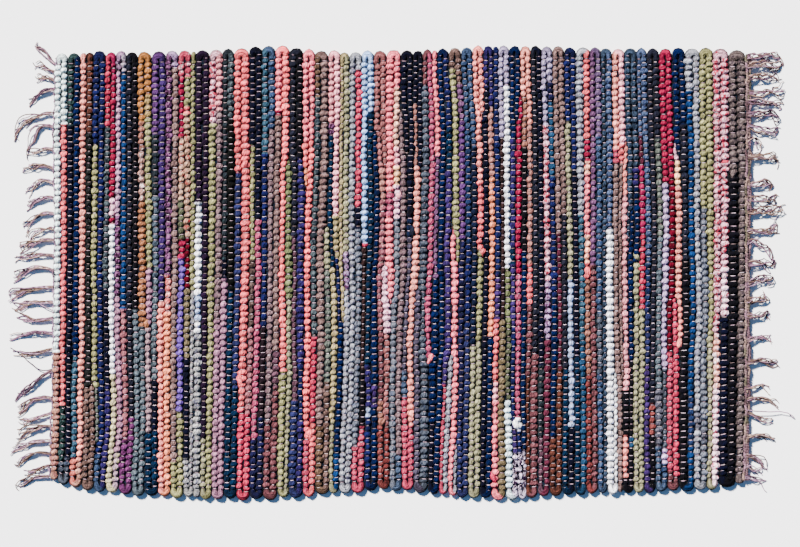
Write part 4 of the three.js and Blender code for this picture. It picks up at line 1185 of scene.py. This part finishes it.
def headingCords(name, side):
    # The last warp yarns are twined into cords along the cloth's end.
    tracks = Tracks()
    column = "left" if side < 0 else "right"
    values = heading[column]
    within, along = heading["within"], heading["tintLength"]
    end = clothLow[0] + heading["inside"] if side < 0 else clothHigh[0] - heading["inside"]
    y = np.linspace(edgeAt(-1, end) + within, edgeAt(1, end) - within, heading["points"])
    for number in range(values["cords"]):
        sway = sum(np.sin(pull * y + 2.1 * number + side) for pull in heading["pulls"])
        away = heading["inset"] + number * heading["pitch"]
        x = endAt(column, y) + side * away + heading["sway"] * sway
        z = values["height"] - number * heading["lower"] + heading["waves"] * np.sin(55 * y + number)
        codes = rng.choice(values["tints"], len(y) // along + 1).repeat(along)[:len(y)]
        tracks.add(np.column_stack([x, y, z]), tint=[[*dyed(code), 1] for code in codes])
    material = bpy.data.materials.get("heading cord") or yarnMaterial("heading cord")
    return grown(tracks, name, cordTree(material), {"Material": material, "Yarn radius": values["radius"]})


view = {
    "lens": 85.0, "sensor": 36.0,  # in millimetres
    "picture": (800, 547), "pixel": 4 / 3 * mm,  # its size in pixels, and the width of one on the rug
    "rug": (401, 273),  # the pixel in which the rug's middle lies
}


def camera():
    # Straight above the rug, far off with a long lens, as the photograph was taken.
    (wide, high), (column, line), pixel = view["picture"], view["rug"], view["pixel"]
    data = bpy.data.cameras.new("view")
    data.lens, data.sensor_width = view["lens"], view["sensor"]
    data.clip_end = 20
    eye = bpy.data.objects.new("view", data)
    x = (wide / 2 - column) * pixel + middleShift[0]
    y = (line - high / 2) * pixel + middleShift[1]
    eye.location = (x, y, wide * pixel * view["lens"] / view["sensor"] + 6 * mm)
    bpy.context.scene.collection.objects.link(eye)
    bpy.context.scene.camera = eye


studio = {
    "key": 25.2, "height": 34, "from": 127,  # strength, and its direction in degrees
    "softness": 7,
    "keyColour": (1.0, 0.965, 0.94),
    "sky": 0.34,
    "skyColour": (0.22, 0.5, 1.0, 1),
    "floor": 30.0,
}


def lights():
    # One broad lamp from the upper left of the picture, and a soft cool sky.
    data = bpy.data.lights.new("key", "SUN")
    data.energy, data.angle = studio["key"], math.radians(studio["softness"])
    data.color = studio["keyColour"]
    lamp = bpy.data.objects.new("key", data)
    turn = math.radians(studio["from"] + 90)
    lamp.rotation_euler = (math.radians(90 - studio["height"]), 0, turn)
    bpy.context.scene.collection.objects.link(lamp)
    world = bpy.data.worlds.new("soft sky")
    world.use_nodes = True
    sky = world.node_tree.nodes["Background"]
    sky.inputs["Color"].default_value = studio["skyColour"]
    sky.inputs["Strength"].default_value = studio["sky"]
    bpy.context.scene.world = world


def floor():
    half = studio["floor"] / 2
    corners = [(-half, -half, 0), (half, -half, 0), (half, half, 0), (-half, half, 0)]
    mesh = bpy.data.meshes.new("floor")
    mesh.from_pydata(corners, [], [(0, 1, 2, 3)])
    plane = bpy.data.objects.new("floor", mesh)
    bpy.context.scene.collection.objects.link(plane)
    finish = {"Base Color": (0.93, 0.93, 0.93, 1), "Roughness": 0.9, "Specular IOR Level": 0.1}
    mesh.materials.append(Surface("pale floor", finish).material)


camera()
lights()
floor()
bands = clothBands()
warps = warpYarns()
fringeLeft = fringeYarns("fringe_yarn_left", leftTufts, -1, looseYarn["left"])
fringeRight = fringeYarns("fringe_yarn_right", rightTufts, 1, looseYarn["right"])
cordsLeft = headingCords("heading_cord_left", -1)
cordsRight = headingCords("heading_cord_right", 1)

for piece in (*bands, *warps):
    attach(piece, "root")
    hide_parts("mat")
for piece, node in ((fringeLeft, "fringe_left"), (cordsLeft, "fringe_left"),
                    (fringeRight, "fringe_right"), (cordsRight, "fringe_right")):
    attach(piece, "root")
    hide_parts(node)

print("pieces are dressed")
